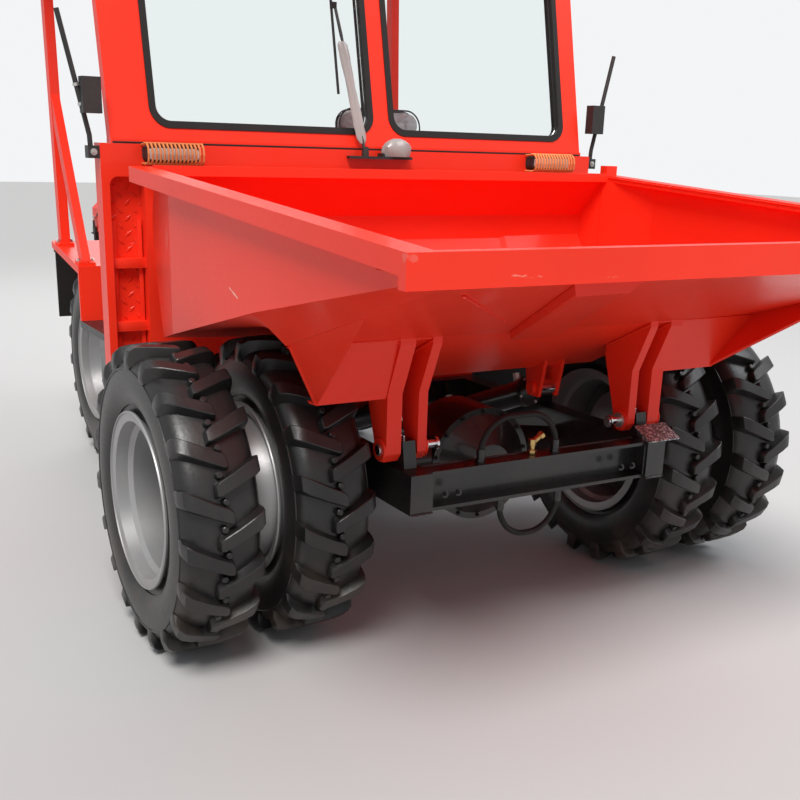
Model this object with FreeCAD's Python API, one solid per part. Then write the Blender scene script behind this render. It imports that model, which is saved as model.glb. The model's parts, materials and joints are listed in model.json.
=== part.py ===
import FreeCAD, Part
import math
import os

os.makedirs("parts", exist_ok=True)
V = FreeCAD.Vector

# Site dumper: front tipping skip, twin front wheels, steered rear wheels.
# Millimetres. Front toward -Y, ground at Z = 0, front axle at Y = 0.

# Named clearances
RUN = 0.3
GAP = 6.0

# Driving dimensions: wheels
TYRE_R = 398.0
TYRE_HALF = 106.0
TREAD_HALF = 90.0
CARCASS_R = 374.0
RIM_R = 228.0
BARREL_R = 204.0
BARREL_HALF = 84.0
TWIN_OUTER_X = 884.0
TWIN_SPACING = 293.0
MATE_X = TWIN_OUTER_X - TWIN_SPACING / 2
TWIN_INNER_X = TWIN_OUTER_X - TWIN_SPACING
REAR_WHEEL_X = 520.0
WHEELBASE = 1800.0
HUB_DRUM_R = 150.0
STUB_R = 30.0
DISC_T = 12.0

# Driving dimensions: chassis
RAIL_OUT = 418.0
RAIL_IN = 353.0
RAIL_FRONT = -420.0
RAIL_Z0 = TYRE_R + 7.0
RAIL_Z1 = TYRE_R + 110.0
NECK_Y0 = WHEELBASE - 720.0
NECK_Y1 = WHEELBASE - 500.0
REAR_RAIL_OUT = 205.0
REAR_RAIL_IN = 150.0
REAR_RAIL_Z0 = TYRE_R + 102.0
REAR_RAIL_Z1 = TYRE_R + 192.0
FRAME_END = WHEELBASE + 620.0
BEAM_Z0 = RAIL_Z0 + 30.0
MIDDLE_BEAM_Y = (NECK_Y0 - 120.0, NECK_Y0 - 40.0)
REAR_BEAM_Y = (WHEELBASE + 380.0, WHEELBASE + 440.0)
BRACKET_Y = 110.0
PIVOT_R = 26.0
PIVOT_Z = TYRE_R + 96.0
KINGPIN_X = 385.0
KINGPIN_R = 14.0
ARM_LENGTH = 170.0
ARM_Y = WHEELBASE + ARM_LENGTH
TIE_Z0 = TYRE_R + 42.0
TIE_Z1 = TYRE_R + 66.0

# Driving dimensions: skip
HINGE_Y = -320.0
HINGE_Z = TYRE_R + 157.0
HINGE_R = 15.0
SKIP_HALF = 847.0
SKIP_WALL = 820.0
SKIP_T = 6.0
LIP_Y = -1092.0
RIM_Z_FRONT = TYRE_R + 722.0
RIM_Z_REAR = TYRE_R + 810.0
RAIL_END_Y = 392.0
RAIL_W = 62.0
RAIL_H = 40.0
LIP_H = 61.0
FOLD_Y = -400.0
NOSE_IN = 451.0
NOSE_OUT = 742.0
CHEEK_X = 640.0

# Driving dimensions: platform, cab and rear
WALL_Y = 565.0
WALL_HALF = 875.0
WALL_Z0 = TYRE_R + 212.0
SEAM_Z = TYRE_R + 867.0
SCREEN_HALF = 840.0
SCREEN_TOP = SEAM_Z + 785.0
SCREEN_RAKE = math.radians(12.5)
FLOOR_Z = TYRE_R + 242.0
ROOF_Z = SCREEN_TOP + 25.0
ROOF_BACK = WHEELBASE + 30.0
GUARD_OUT = 757.0
GUARD_Y0 = WHEELBASE - 424.0
GUARD_Y1 = WHEELBASE - 30.0
HOOD_HALF = 430.0
HOOD_Y0 = WHEELBASE - 325.0
HOOD_Y1 = WHEELBASE + 600.0
HOOD_SPLIT = TYRE_R + 532.0
HOOD_TOP = HOOD_SPLIT + 80.0
HOOD_HINGE = (HOOD_Y0, HOOD_SPLIT + 10.0)
SEAT_X = 495.0

DECK_T = 24.0
DECK_END = GUARD_Y0 + 10.0
GUARD_TOP0 = TYRE_R + 438.0
GUARD_TOP1 = TYRE_R + 494.0
SHEET = 5.0
GUARD_IN = HOOD_HALF + RUN
BELLY_HALF = 226.0
POST_X = 722.0
FLAP_Y = WHEELBASE + 475.0
FLAP_OUT = REAR_WHEEL_X + 112.0
FLAP_TOP = TYRE_R + 424.0
CHANNEL_X0 = 752.0
CHANNEL_X1 = 852.0
CHANNEL_TOP = SEAM_Z - 90.0
CHANNEL_R = 25.0
LEDGE_Z = (WALL_Z0 + 135.0, WALL_Z0 + 320.0)
SCREEN_T = 36.0
PANE_Z0 = SEAM_Z + 45.0
PANE_Z1 = SCREEN_TOP - 65.0
PANE_R = 60.0
TANK_IN = 476.0
TANK_OUT = 706.0
TANK_Y = (WALL_Y + 155.0, DECK_END - 56.0)
SEAT_Z = FLOOR_Z + 325.0

# Driving dimensions: tip cylinders, Y and Z of the foot pin and of the rod pin
RAM_X = 250.0
RAM_FOOT = (500.0, TYRE_R - 13.0)
RAM_HEAD = (-60.0, TYRE_R + 207.0)
RAM_PIN_R = 14.0
EYE_HALF = 24.0
EYE_R = 28.0
RAM_R = 40.0
ROD_R = 22.0
RAM_BEAM_Y = (RAM_FOOT[0] + 22.0, RAM_FOOT[0] + 78.0)
SKIP_REST_Z = TYRE_R + 262.0

# Driving dimensions: drive line, and the exhaust beside the housing
SHAFT_X = 20.0
NOSE_Y = 200.0
GEARBOX_Y0 = NECK_Y0 + 10.0
GEARBOX_Y1 = HOOD_Y0 - 5.0
ENGINE_Y0 = HOOD_Y0 + 85.0
ENGINE_Y1 = HOOD_Y1 - 170.0
EXHAUST_X = -HOOD_HALF - 70.0
EXHAUST_Y = HOOD_Y0 + 85.0

# Tail plate and tow jaw, and the middle of the machine's length, which is the origin
TAIL_Z0 = TYRE_R + 32.0
TAIL_Z1 = TYRE_R + 224.0
JAW_Z0 = TYRE_R + 72.0
JAW_Z1 = JAW_Z0 + 90.0
TOW_R = 16.0
TAIL_Y = FRAME_END + 14.0
JAW_LENGTH = 76.0
MIDDLE_Y = (LIP_Y + TAIL_Y + JAW_LENGTH) / 2


def box(x0, x1, y0, y1, z0, z1):
    lo = V(min(x0, x1), min(y0, y1), min(z0, z1))
    return Part.makeBox(abs(x1 - x0), abs(y1 - y0), abs(z1 - z0), lo)


def cyl(r, p, q):
    p, q = V(*p), V(*q)
    return Part.makeCylinder(r, (q - p).Length, p, q - p)


def tube(r, hole, p, q):
    return cyl(r, p, q).cut(cyl(hole, p, q))


def cone(r0, r1, p, q):
    p, q = V(*p), V(*q)
    return Part.makeCone(r0, r1, (q - p).Length, p, q - p)


def face(points):
    pts = [V(*p) for p in points]
    return Part.Face(Part.makePolygon(pts + [pts[0]]))


def plate_x(yz, x0, x1):
    """Outline in the YZ plane, swept from x0 to x1."""
    return face([(x0, y, z) for y, z in yz]).extrude(V(x1 - x0, 0, 0))


def plate_y(xz, y0, y1):
    """Outline in the XZ plane, swept from y0 to y1."""
    return face([(x, y0, z) for x, z in xz]).extrude(V(0, y1 - y0, 0))


def plate_z(xy, z0, z1):
    """Outline in the XY plane, swept from z0 to z1."""
    return face([(x, y, z0) for x, y in xy]).extrude(V(0, 0, z1 - z0))


def fuse(shapes):
    shapes = list(shapes)
    solid = shapes[0]
    if len(shapes) > 1:
        solid = shapes[0].multiFuse(shapes[1:])
    return solid.removeSplitter()


def mirror(shape):
    return shape.mirror(V(0, 0, 0), V(1, 0, 0))


def both(shape):
    return [shape, mirror(shape)]


def spin_x(profile, x, y, z):
    """Profile of (along, radius) points, turned about the X axis through y, z."""
    pts = [V(x + a, y, z + r) for a, r in profile]
    area = Part.Face(Part.makePolygon(pts + [pts[0]]))
    return area.revolve(V(x, y, z), V(1, 0, 0), 360)


def beam(p, q, w, h, up=(0, 0, 1)):
    """Rectangular bar from p to q, w wide and h high."""
    p, q, up = V(*p), V(*q), V(*up)
    run = q - p
    side = run.cross(up).normalize()
    rise = side.cross(run).normalize()
    corners = [p + side * (a * w / 2) + rise * (b * h / 2) for a, b in ((-1, -1), (1, -1), (1, 1), (-1, 1))]
    return Part.Face(Part.makePolygon(corners + [corners[0]])).extrude(run)


def pipe(points, r, bend=None):
    """Round bar or hose through points, with tangent arcs as large as the runs allow."""
    pts = [V(*p) for p in points]
    edges = []
    start = pts[0]
    for a, b, c in zip(pts, pts[1:], pts[2:]):
        u = (a - b).normalize()
        w = (c - b).normalize()
        half = u.getAngle(w) / 2
        back = 0.45 * min((a - b).Length, (c - b).Length)
        if bend:
            back = bend / math.tan(half)
        bend_here = back * math.tan(half)
        p0 = b + u * back
        p1 = b + w * back
        middle = b + (u + w).normalize() * (bend_here / math.sin(half) - bend_here)
        if (p0 - start).Length > 0.01:
            edges.append(Part.makeLine(start, p0))
        edges.append(Part.Arc(p0, middle, p1).toShape())
        start = p1
    edges.append(Part.makeLine(start, pts[-1]))
    wire = Part.Wire(edges)
    first = pts[1] - pts[0]
    ring = Part.Wire([Part.makeCircle(r, pts[0], first)])
    return wire.makePipeShell([ring], True, True)


def save(name, shapes):
    shapes = shapes if isinstance(shapes, list) else [shapes]
    solids = []
    for shape in shapes:
        solids += shape.Solids
    for solid in solids:
        if not solid.isValid():
            print("INVALID", name)
    out = solids[0] if len(solids) == 1 else Part.makeCompound(solids)
    out.translate(V(0, -MIDDLE_Y, 0))
    out.exportStep("parts/%s.step" % name)
    print(name, len(solids), round(out.Volume / 1e6, 3))


# Wheels

# columns: along the axle from the tyre's middle, radius
TYRE_PROFILE = (
    (-70.0, 210.0), (-78.0, 229.0), (-98.0, 262.0), (-TYRE_HALF, 300.0), (-100.0, 345.0),
    (-TREAD_HALF, 384.0), (-72.0, TYRE_R), (72.0, TYRE_R), (TREAD_HALF, 384.0), (100.0, 345.0),
    (TYRE_HALF, 300.0), (98.0, 262.0), (78.0, 229.0), (70.0, 210.0),
)


def tyre(x, y):
    return spin_x(TYRE_PROFILE, x, y, TYRE_R)


def rim(x, y, side, disc_at, disc_hole):
    """Rim with its disc dished toward side; disc_at is the disc's place from the middle."""
    s = side
    barrel = spin_x((
        (-BARREL_HALF, RIM_R), (-BARREL_HALF - 6, RIM_R), (-BARREL_HALF - 6, BARREL_R - 8),
        (BARREL_HALF + 6, BARREL_R - 8), (BARREL_HALF + 6, RIM_R), (BARREL_HALF, RIM_R),
        (77.0, 209.0), (-77.0, 209.0)), x, y, TYRE_R)
    d = disc_at
    edge = s * (BARREL_HALF - 20.0)
    disc = spin_x((
        (edge, BARREL_R - 7), (edge - s * DISC_T, BARREL_R - 7), (d - s * DISC_T, 165.0),
        (d - s * DISC_T, disc_hole), (d, disc_hole), (d, 168.0)), x, y, TYRE_R)
    return barrel.fuse(disc).removeSplitter()


def front_wheels():
    """Twin tyres and rims on one hub, for the +X side."""
    tyres = [tyre(TWIN_OUTER_X, 0), tyre(TWIN_INNER_X, 0)]
    half = TWIN_SPACING / 2
    outer = rim(TWIN_OUTER_X, 0, -1, -half, 70.0)
    inner = rim(TWIN_INNER_X, 0, 1, half, 70.0)
    hub = spin_x((
        (MATE_X - 120, HUB_DRUM_R), (MATE_X - 12, HUB_DRUM_R), (MATE_X - 12, 75.0), (MATE_X + 70, 69.0),
        (MATE_X + 90, 55.0), (MATE_X + 90, 0.0), (MATE_X + 40, 0.0), (MATE_X + 40, STUB_R + RUN),
        (MATE_X - 120, STUB_R + RUN)), 0, 0, TYRE_R)
    nuts = []
    for i in range(8):
        a = math.radians(45 * i + 22.5)
        y, z = 110 * math.cos(a), TYRE_R + 110 * math.sin(a)
        nuts.append(cyl(11, (MATE_X - 20, y, z), (MATE_X + 34, y, z)))
    return tyres, fuse([outer, inner, hub] + nuts)


def rear_wheel():
    """Single tyre and rim on its hub, for the +X side."""
    disc_at = -20.0
    ring = rim(REAR_WHEEL_X, WHEELBASE, 1, disc_at, 60.0)
    x = REAR_WHEEL_X + disc_at
    hub = spin_x((
        (x - 50, 95.0), (x - 8, 95.0), (x - 8, 62.0), (x + 50, 52.0), (x + 62, 40.0), (x + 62, 0.0),
        (x + 24, 0.0), (x + 24, STUB_R + RUN), (x - 50, STUB_R + RUN)), 0, WHEELBASE, TYRE_R)
    nuts = []
    for i in range(6):
        a = math.radians(60 * i)
        y, z = WHEELBASE + 84 * math.cos(a), TYRE_R + 84 * math.sin(a)
        nuts.append(cyl(10, (x - 20, y, z), (x + 22, y, z)))
    return [tyre(REAR_WHEEL_X, WHEELBASE)], fuse([ring, hub] + nuts)


# Axles

def front_axle():
    """Driven axle: round housing in the middle, tapered tubes and stub ends."""
    banjo = cyl(168, (20, -85, TYRE_R), (20, 85, TYRE_R))
    cover = cone(150, 70, (20, -85, TYRE_R), (20, -135, TYRE_R))
    nose = cone(120, 62, (SHAFT_X, 85, TYRE_R), (SHAFT_X, NOSE_Y, TYRE_R))
    parts = [banjo, cover, nose]
    for s in (-1, 1):
        parts.append(cone(92, 58, (s * 100, 0, TYRE_R), (s * 360, 0, TYRE_R)))
        parts.append(cyl(58, (s * 360, 0, TYRE_R), (s * (MATE_X - 130), 0, TYRE_R)))
        parts.append(cyl(STUB_R, (s * 590, 0, TYRE_R), (s * (MATE_X + 34), 0, TYRE_R)))
    axle = fuse(parts)
    for s in (-1, 1):
        rail = box(s * (RAIL_IN - RUN), s * (RAIL_OUT + RUN), -200, 200, RAIL_Z0 - RUN, RAIL_Z1)
        axle = axle.cut(rail)
    return axle


def rear_axle():
    """Steered axle: beam on a middle pivot, forked ends and kingpins."""
    parts = [box(-300, 300, WHEELBASE - 42, WHEELBASE + 42, TYRE_R - 48, TYRE_R + 48)]
    parts.append(box(-60, 60, WHEELBASE - 34, WHEELBASE + 34, TYRE_R, PIVOT_Z + 26))
    parts.append(cyl(PIVOT_R, (0, WHEELBASE - BRACKET_Y - 20, PIVOT_Z), (0, WHEELBASE + BRACKET_Y + 20, PIVOT_Z)))
    for s in (-1, 1):
        for z0, z1 in ((TYRE_R - 75, TYRE_R - 45), (TYRE_R + 45, TYRE_R + 75)):
            parts.append(box(s * 262, s * KINGPIN_X, WHEELBASE - 26, WHEELBASE + 26, z0, z1))
            parts.append(cyl(26, (s * KINGPIN_X, WHEELBASE, z0), (s * KINGPIN_X, WHEELBASE, z1)))
        parts.append(box(s * 262, s * 300, WHEELBASE - 42, WHEELBASE + 42, TYRE_R - 75, TYRE_R + 75))
        parts.append(cyl(KINGPIN_R, (s * KINGPIN_X, WHEELBASE, TYRE_R - 80), (s * KINGPIN_X, WHEELBASE, TYRE_R + 80)))
    return fuse(parts)


def knuckle():
    """Steering knuckle for the +X side: sleeve on the kingpin, stub and arm."""
    sleeve = cyl(25, (KINGPIN_X, WHEELBASE, TYRE_R - 42), (KINGPIN_X, WHEELBASE, TYRE_R + 42))
    stub = cyl(STUB_R, (KINGPIN_X + 16, WHEELBASE, TYRE_R), (REAR_WHEEL_X - 2, WHEELBASE, TYRE_R))
    flange = cyl(40, (KINGPIN_X + 16, WHEELBASE, TYRE_R), (KINGPIN_X + 52, WHEELBASE, TYRE_R))
    arm = beam((KINGPIN_X, WHEELBASE + 16, TYRE_R + 24), (KINGPIN_X, ARM_Y, TYRE_R + 24), 34, 18)
    eye = cyl(22, (KINGPIN_X, ARM_Y, TYRE_R + 15), (KINGPIN_X, ARM_Y, TYRE_R + 33))
    pin = cyl(14, (KINGPIN_X, ARM_Y, TYRE_R + 33), (KINGPIN_X, ARM_Y, TIE_Z0 - RUN))
    bore = cyl(KINGPIN_R + RUN, (KINGPIN_X, WHEELBASE, 0), (KINGPIN_X, WHEELBASE, 800))
    return fuse([sleeve, stub, flange, arm, eye, pin]).cut(bore)


def tie_rod():
    """Track rod behind the rear axle, with its ends on the knuckles' joints."""
    middle = (TIE_Z0 + TIE_Z1) / 2
    parts = [cyl(12, (-KINGPIN_X, ARM_Y, middle), (KINGPIN_X, ARM_Y, middle))]
    for s in (-1, 1):
        parts.append(cyl(24, (s * KINGPIN_X, ARM_Y, TIE_Z0), (s * KINGPIN_X, ARM_Y, TIE_Z1)))
    return fuse(parts)


# Chassis

def side_rail(s):
    """One longeron, narrowed behind the platform, with its hinge lug and rest block."""
    neck = [
        (s * RAIL_OUT, NECK_Y0), (s * REAR_RAIL_OUT, NECK_Y1), (s * REAR_RAIL_IN, NECK_Y1),
        (s * REAR_RAIL_IN, NECK_Y1 - 60), (s * RAIL_IN, NECK_Y0 - 60), (s * RAIL_OUT, NECK_Y0 - 60)]
    lug = [(HINGE_Y - 38, RAIL_Z1 - 2), (HINGE_Y + 62, RAIL_Z1 - 2), (HINGE_Y + 26, HINGE_Z + 22),
           (HINGE_Y - 26, HINGE_Z + 22)]
    return fuse([
        box(s * RAIL_IN, s * RAIL_OUT, RAIL_FRONT, NECK_Y0 + 60, RAIL_Z0, RAIL_Z1),
        plate_z(neck, RAIL_Z0 + 20, REAR_RAIL_Z1),
        box(s * REAR_RAIL_IN, s * REAR_RAIL_OUT, NECK_Y1 - 20, FRAME_END, REAR_RAIL_Z0, REAR_RAIL_Z1),
        plate_x(lug, s * 366, s * 402),
        box(s * 358, s * 412, 95, 150, RAIL_Z1 - 1, SKIP_REST_Z - RUN)])


def ram_beam():
    """Cross beam behind the tip cylinders, with their foot lugs."""
    y, z = RAM_FOOT
    y0, y1 = RAM_BEAM_Y
    parts = [box(-RAIL_IN, RAIL_IN, y0, y1, BEAM_Z0, RAIL_Z1)]
    foot = [(y - 22, z - 26), (y + 26, z - 26), (y1 - 6, BEAM_Z0 + 4), (y1 - 6, RAIL_Z1 - 2), (y0 + 2, RAIL_Z1 - 2),
            (y - 22, z + 24)]
    for s in (-1, 1):
        for a, b in ((-EYE_HALF - 13, -EYE_HALF - 1), (EYE_HALF + 1, EYE_HALF + 13)):
            parts.append(plate_x(foot, s * RAM_X + a, s * RAM_X + b))
    return fuse(parts).cut(cyl(RAM_PIN_R, (-RAIL_IN + 10, y, z), (RAIL_IN - 10, y, z)))


def tail():
    """Tail plate with its tow jaw."""
    plate = box(-HOOD_HALF, HOOD_HALF, FRAME_END, TAIL_Y, TAIL_Z0, TAIL_Z1)
    jaw = box(-45, 45, TAIL_Y, TAIL_Y + JAW_LENGTH, JAW_Z0, JAW_Z1)
    slot = box(-50, 50, TAIL_Y + 20, TAIL_Y + JAW_LENGTH + 1, JAW_Z0 + 27, JAW_Z1 - 27)
    tow_bore = cyl(TOW_R, (0, TAIL_Y + 46, JAW_Z0 - 5), (0, TAIL_Y + 46, JAW_Z1 + 5))
    return fuse([plate, jaw.cut(slot).cut(tow_bore)])


def chassis():
    """Two longerons and the cross members welded between them, each member a solid."""
    hinge = cyl(HINGE_R, (-420, HINGE_Y, HINGE_Z), (420, HINGE_Y, HINGE_Z))
    rails = [side_rail(s).cut(hinge) for s in (-1, 1)]
    front = fuse([
        box(-RAIL_IN, RAIL_IN, RAIL_FRONT + 58, RAIL_FRONT + 66, RAIL_Z0, RAIL_Z1),
        box(-RAIL_IN, RAIL_IN, RAIL_FRONT + 12, RAIL_FRONT + 66, RAIL_Z0, RAIL_Z0 + 9),
        box(-RAIL_IN, RAIL_IN, RAIL_FRONT + 12, RAIL_FRONT + 66, RAIL_Z1 - 9, RAIL_Z1)])
    middle = box(-RAIL_IN, RAIL_IN, *MIDDLE_BEAM_Y, BEAM_Z0, RAIL_Z1).cut(rails[0]).cut(rails[1])
    rear = box(-REAR_RAIL_IN, REAR_RAIL_IN, *REAR_BEAM_Y, REAR_RAIL_Z0, REAR_RAIL_Z1)
    pivot = cyl(PIVOT_R + RUN, (0, WHEELBASE - BRACKET_Y - 30, PIVOT_Z), (0, WHEELBASE + BRACKET_Y + 30, PIVOT_Z))
    brackets = []
    for y in (WHEELBASE - BRACKET_Y, WHEELBASE + BRACKET_Y):
        plate = box(-REAR_RAIL_OUT, REAR_RAIL_OUT, y - 14, y + 14, PIVOT_Z - 34, REAR_RAIL_Z1)
        brackets.append(plate.cut(rails[0]).cut(rails[1]).cut(pivot))
    return rails + [front, ram_beam(), middle, rear, tail()] + brackets


def ram_point(t, x):
    """Point t of the way from the foot pin to the rod pin."""
    y = RAM_FOOT[0] + (RAM_HEAD[0] - RAM_FOOT[0]) * t
    z = RAM_FOOT[1] + (RAM_HEAD[1] - RAM_FOOT[1]) * t
    return (x, y, z)


def ram_barrel(x):
    body = cyl(RAM_R, ram_point(0.065, x), ram_point(0.86, x))
    hollow = cyl(ROD_R + RUN, ram_point(0.12, x), ram_point(0.87, x))
    neck = cyl(20, ram_point(0.0, x), ram_point(0.08, x))
    eye = cyl(EYE_R, (x - EYE_HALF, *RAM_FOOT), (x + EYE_HALF, *RAM_FOOT))
    hole = cyl(RAM_PIN_R + RUN, (x - 40, *RAM_FOOT), (x + 40, *RAM_FOOT))
    return fuse([body.cut(hollow), neck, eye]).cut(hole)


def ram_rod(x):
    rod = cyl(ROD_R, ram_point(0.13, x), ram_point(0.97, x))
    eye = cyl(EYE_R, (x - EYE_HALF, *RAM_HEAD), (x + EYE_HALF, *RAM_HEAD))
    return fuse([rod, eye])


def pins():
    parts = []
    for s in (-1, 1):
        pin = cyl(HINGE_R, (s * 330, HINGE_Y, HINGE_Z), (s * 458, HINGE_Y, HINGE_Z))
        head = cyl(HINGE_R + 6, (s * 322, HINGE_Y, HINGE_Z), (s * 330, HINGE_Y, HINGE_Z))
        parts.append(pin.fuse(head))
        x = s * RAM_X
        parts.append(cyl(RAM_PIN_R, (x - 48, *RAM_FOOT), (x + 48, *RAM_FOOT)))
    return parts


# Skip

def rail_z(y):
    return RIM_Z_REAR + (RIM_Z_FRONT - RIM_Z_REAR) * (RAIL_END_Y - y) / (RAIL_END_Y - LIP_Y)


def wall_z(y):
    """Lower edge of the side walls."""
    return TYRE_R + 391.0 - 0.2455 * (y - 160.0)


# columns: Y, half widths at the wall and at the shelf's inner edge, then heights over the axle:
# top, wall foot, shelf, floor
SKIP_SECTIONS = (
    (LIP_Y + 20.0, SKIP_WALL, 744.0, None, 670.0, 666.0, 662.0),
    (FOLD_Y, SKIP_WALL, 744.0, None, None, 451.0, 447.0),
    (-60.0, SKIP_WALL, 452.0, None, None, 426.0, 270.0),
    (150.0, SKIP_WALL, 452.0, None, None, 408.0, 262.0),
    (300.0, SKIP_WALL - 24.0, 452.0, None, 359.0, 342.0, 302.0),
    (372.0, SKIP_WALL - 38.0, 452.0, None, 447.0, 440.0, 430.0),
    (462.0, SKIP_WALL - 55.0, 452.0, 680.0, 602.0, 598.0, 592.0),
)
FLOOR_HALF = 430.0


def section(y, half, ledge, top, foot, shelf, floor, inset):
    top = rail_z(y) - 20.0 if top is None else TYRE_R + top
    foot = wall_z(y) if foot is None else TYRE_R + foot
    shelf, floor = TYRE_R + shelf, TYRE_R + floor
    w = half - inset
    left = [(-w, top), (-w, foot + inset), (-ledge + inset, shelf + inset), (-FLOOR_HALF + inset, floor + inset)]
    right = [(-x, z) for x, z in reversed(left)]
    return left + right


def loft(rows):
    wires = []
    for y, xz in rows:
        pts = [V(x, y, z) for x, z in xz]
        wires.append(Part.makePolygon(pts + [pts[0]]))
    return Part.makeLoft(wires, True, True)


def skip_shell():
    outer = loft([(row[0], section(*row, 0.0)) for row in SKIP_SECTIONS])
    inner_rows = []
    last = SKIP_SECTIONS[-1]
    for row in SKIP_SECTIONS[:-2]:
        y = row[0] + (SKIP_T if row is SKIP_SECTIONS[0] else 0.0)
        xz = section(y, *row[1:], SKIP_T)
        top = max(z for x, z in xz)
        inner_rows.append((y, [(x, z + 6.0 if z == top else z) for x, z in xz]))
    mid = SKIP_SECTIONS[-2]
    xz = section(*mid, SKIP_T)
    top = max(z for x, z in xz)
    open_row = (mid[0] - 8.0, [(x, z + 6.0 if z == top else z) for x, z in xz])
    inner_rows.append(open_row)
    shut = (mid[0], [(x, z - 4.0 if z == top else z) for x, z in xz])
    end_xz = section(last[0] - SKIP_T, *last[1:], SKIP_T)
    top = max(z for x, z in end_xz)
    end = (last[0] - SKIP_T, [(x, z - 8.0 if z == top else z) for x, z in end_xz])
    shell = outer.cut(loft(inner_rows)).cut(loft([open_row, shut])).cut(loft([shut, end]))
    return shell.removeSplitter()


def nose(s):
    """Folded plate that closes the hopper's front below the fold ahead of a tyre, with its leaning cheek."""
    z0, z1, top = HINGE_Z + 135, TYRE_R + 447.5, TYRE_R + 560
    fold = [(FOLD_Y, top), (FOLD_Y, z1), (FOLD_Y + 58, z0), (FOLD_Y + 84, z0), (FOLD_Y + 84, z0 + 8),
            (FOLD_Y + 63, z0 + 8), (FOLD_Y + 8, z1), (FOLD_Y + 8, top)]
    plate = plate_x(fold, s * NOSE_IN, s * NOSE_OUT)
    a, b = V(s * NOSE_OUT, FOLD_Y - 380, TYRE_R + 582), V(s * NOSE_OUT, FOLD_Y, TYRE_R + 460)
    c = V(s * CHEEK_X, FOLD_Y + 58, z0)
    out = (b - a).cross(c - a).normalize()
    if out.x * s < 0:
        out = out * -1
    cheek = Part.Face(Part.makePolygon([a, b, c, a])).extrude(out * -8)
    far = (c - b) * 3
    beyond = Part.Face(Part.makePolygon([a + (a - b), b - far + (b - a), b + far + (b - a), a + (a - b) + far,
                                         a + (a - b)])).extrude(out * 300)
    return plate.cut(beyond).fuse(cheek)


def skip_frame():
    """Rim tubes, front lip, stiffeners below and the rear rest."""
    parts = []
    slope = (RIM_Z_REAR - RIM_Z_FRONT) / (RAIL_END_Y - LIP_Y)
    for s in (-1, 1):
        side = [(LIP_Y, RIM_Z_FRONT - RAIL_H), (RAIL_END_Y, RIM_Z_REAR - RAIL_H), (RAIL_END_Y, RIM_Z_REAR),
                (LIP_Y, RIM_Z_FRONT)]
        parts.append(plate_x(side, s * (SKIP_HALF - RAIL_W), s * SKIP_HALF))
        gusset = [(LIP_Y + 4, RIM_Z_FRONT - RAIL_H + 2), (LIP_Y + 4, RIM_Z_FRONT - LIP_H),
                  (LIP_Y + 120, RIM_Z_FRONT - RAIL_H + 2)]
        parts.append(plate_x(gusset, s * (SKIP_HALF - 8), s * (SKIP_HALF - 20)))
    lip = [(LIP_Y, RIM_Z_FRONT - LIP_H), (LIP_Y + 24, RIM_Z_FRONT - LIP_H), (LIP_Y + 24, RIM_Z_FRONT - 8),
           (LIP_Y + 30, RIM_Z_FRONT), (LIP_Y, RIM_Z_FRONT)]
    parts.append(plate_x(lip, -SKIP_HALF, SKIP_HALF))
    parts += [nose(s) for s in (-1, 1)]
    parts.append(box(SKIP_HALF - 62, SKIP_HALF - 18, 358, 392, rail_z(375) - 4, rail_z(375) + 30))
    z = rail_z(358) + 6
    parts.append(box(-SKIP_HALF + RAIL_W - 2, SKIP_HALF - RAIL_W + 2, 346, 374, z - 30, z))
    frame = fuse(parts)
    return frame.cut(skip_outer())


def skip_outer():
    return loft([(row[0], section(*row, 0.0)) for row in SKIP_SECTIONS])


# columns: X of the hinge lugs' inner and outer faces
SKIP_LUGS = ((334.0, 360.0), (408.0, 450.0))


def skip_lugs():
    """Hinge lugs, tall posts and the tip cylinder's lugs below the floor."""
    parts = []
    for s in (-1, 1):
        for x0, x1 in SKIP_LUGS:
            outline = [(FOLD_Y - 4, HINGE_Z + 405), (FOLD_Y - 4, HINGE_Z + 275), (HINGE_Y - 28, HINGE_Z + 145),
                       (HINGE_Y - 28, HINGE_Z - 8), (HINGE_Y - 12, HINGE_Z - 30), (HINGE_Y + 12, HINGE_Z - 30),
                       (HINGE_Y + 28, HINGE_Z - 8), (HINGE_Y + 90, HINGE_Z + 170), (HINGE_Y + 90, HINGE_Z + 405)]
            parts.append(plate_x(outline, s * x0, s * x1))
    y, z = RAM_HEAD
    head = [(y - 70, z + 195), (y - 26, z - 24), (y + 26, z - 24), (y + 70, z + 195)]
    for s in (-1, 1):
        for a, b in ((-EYE_HALF - 14, -EYE_HALF - 2), (EYE_HALF + 2, EYE_HALF + 14)):
            x0, x1 = s * RAM_X + a, s * RAM_X + b
            outer = x1 + 12 if b > 0 else x0 - 12
            plate = plate_x(head, x0, x1)
            parts.append(plate.fuse(cyl(RAM_PIN_R + 4, (x0, y, z), (outer, y, z))))
    hinge = cyl(HINGE_R + RUN, (-500, HINGE_Y, HINGE_Z), (500, HINGE_Y, HINGE_Z))
    outer_skin = skip_outer()
    return [max(p.cut(outer_skin).cut(hinge).Solids, key=lambda q: q.Volume) for p in parts]


# Platform and cab

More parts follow.
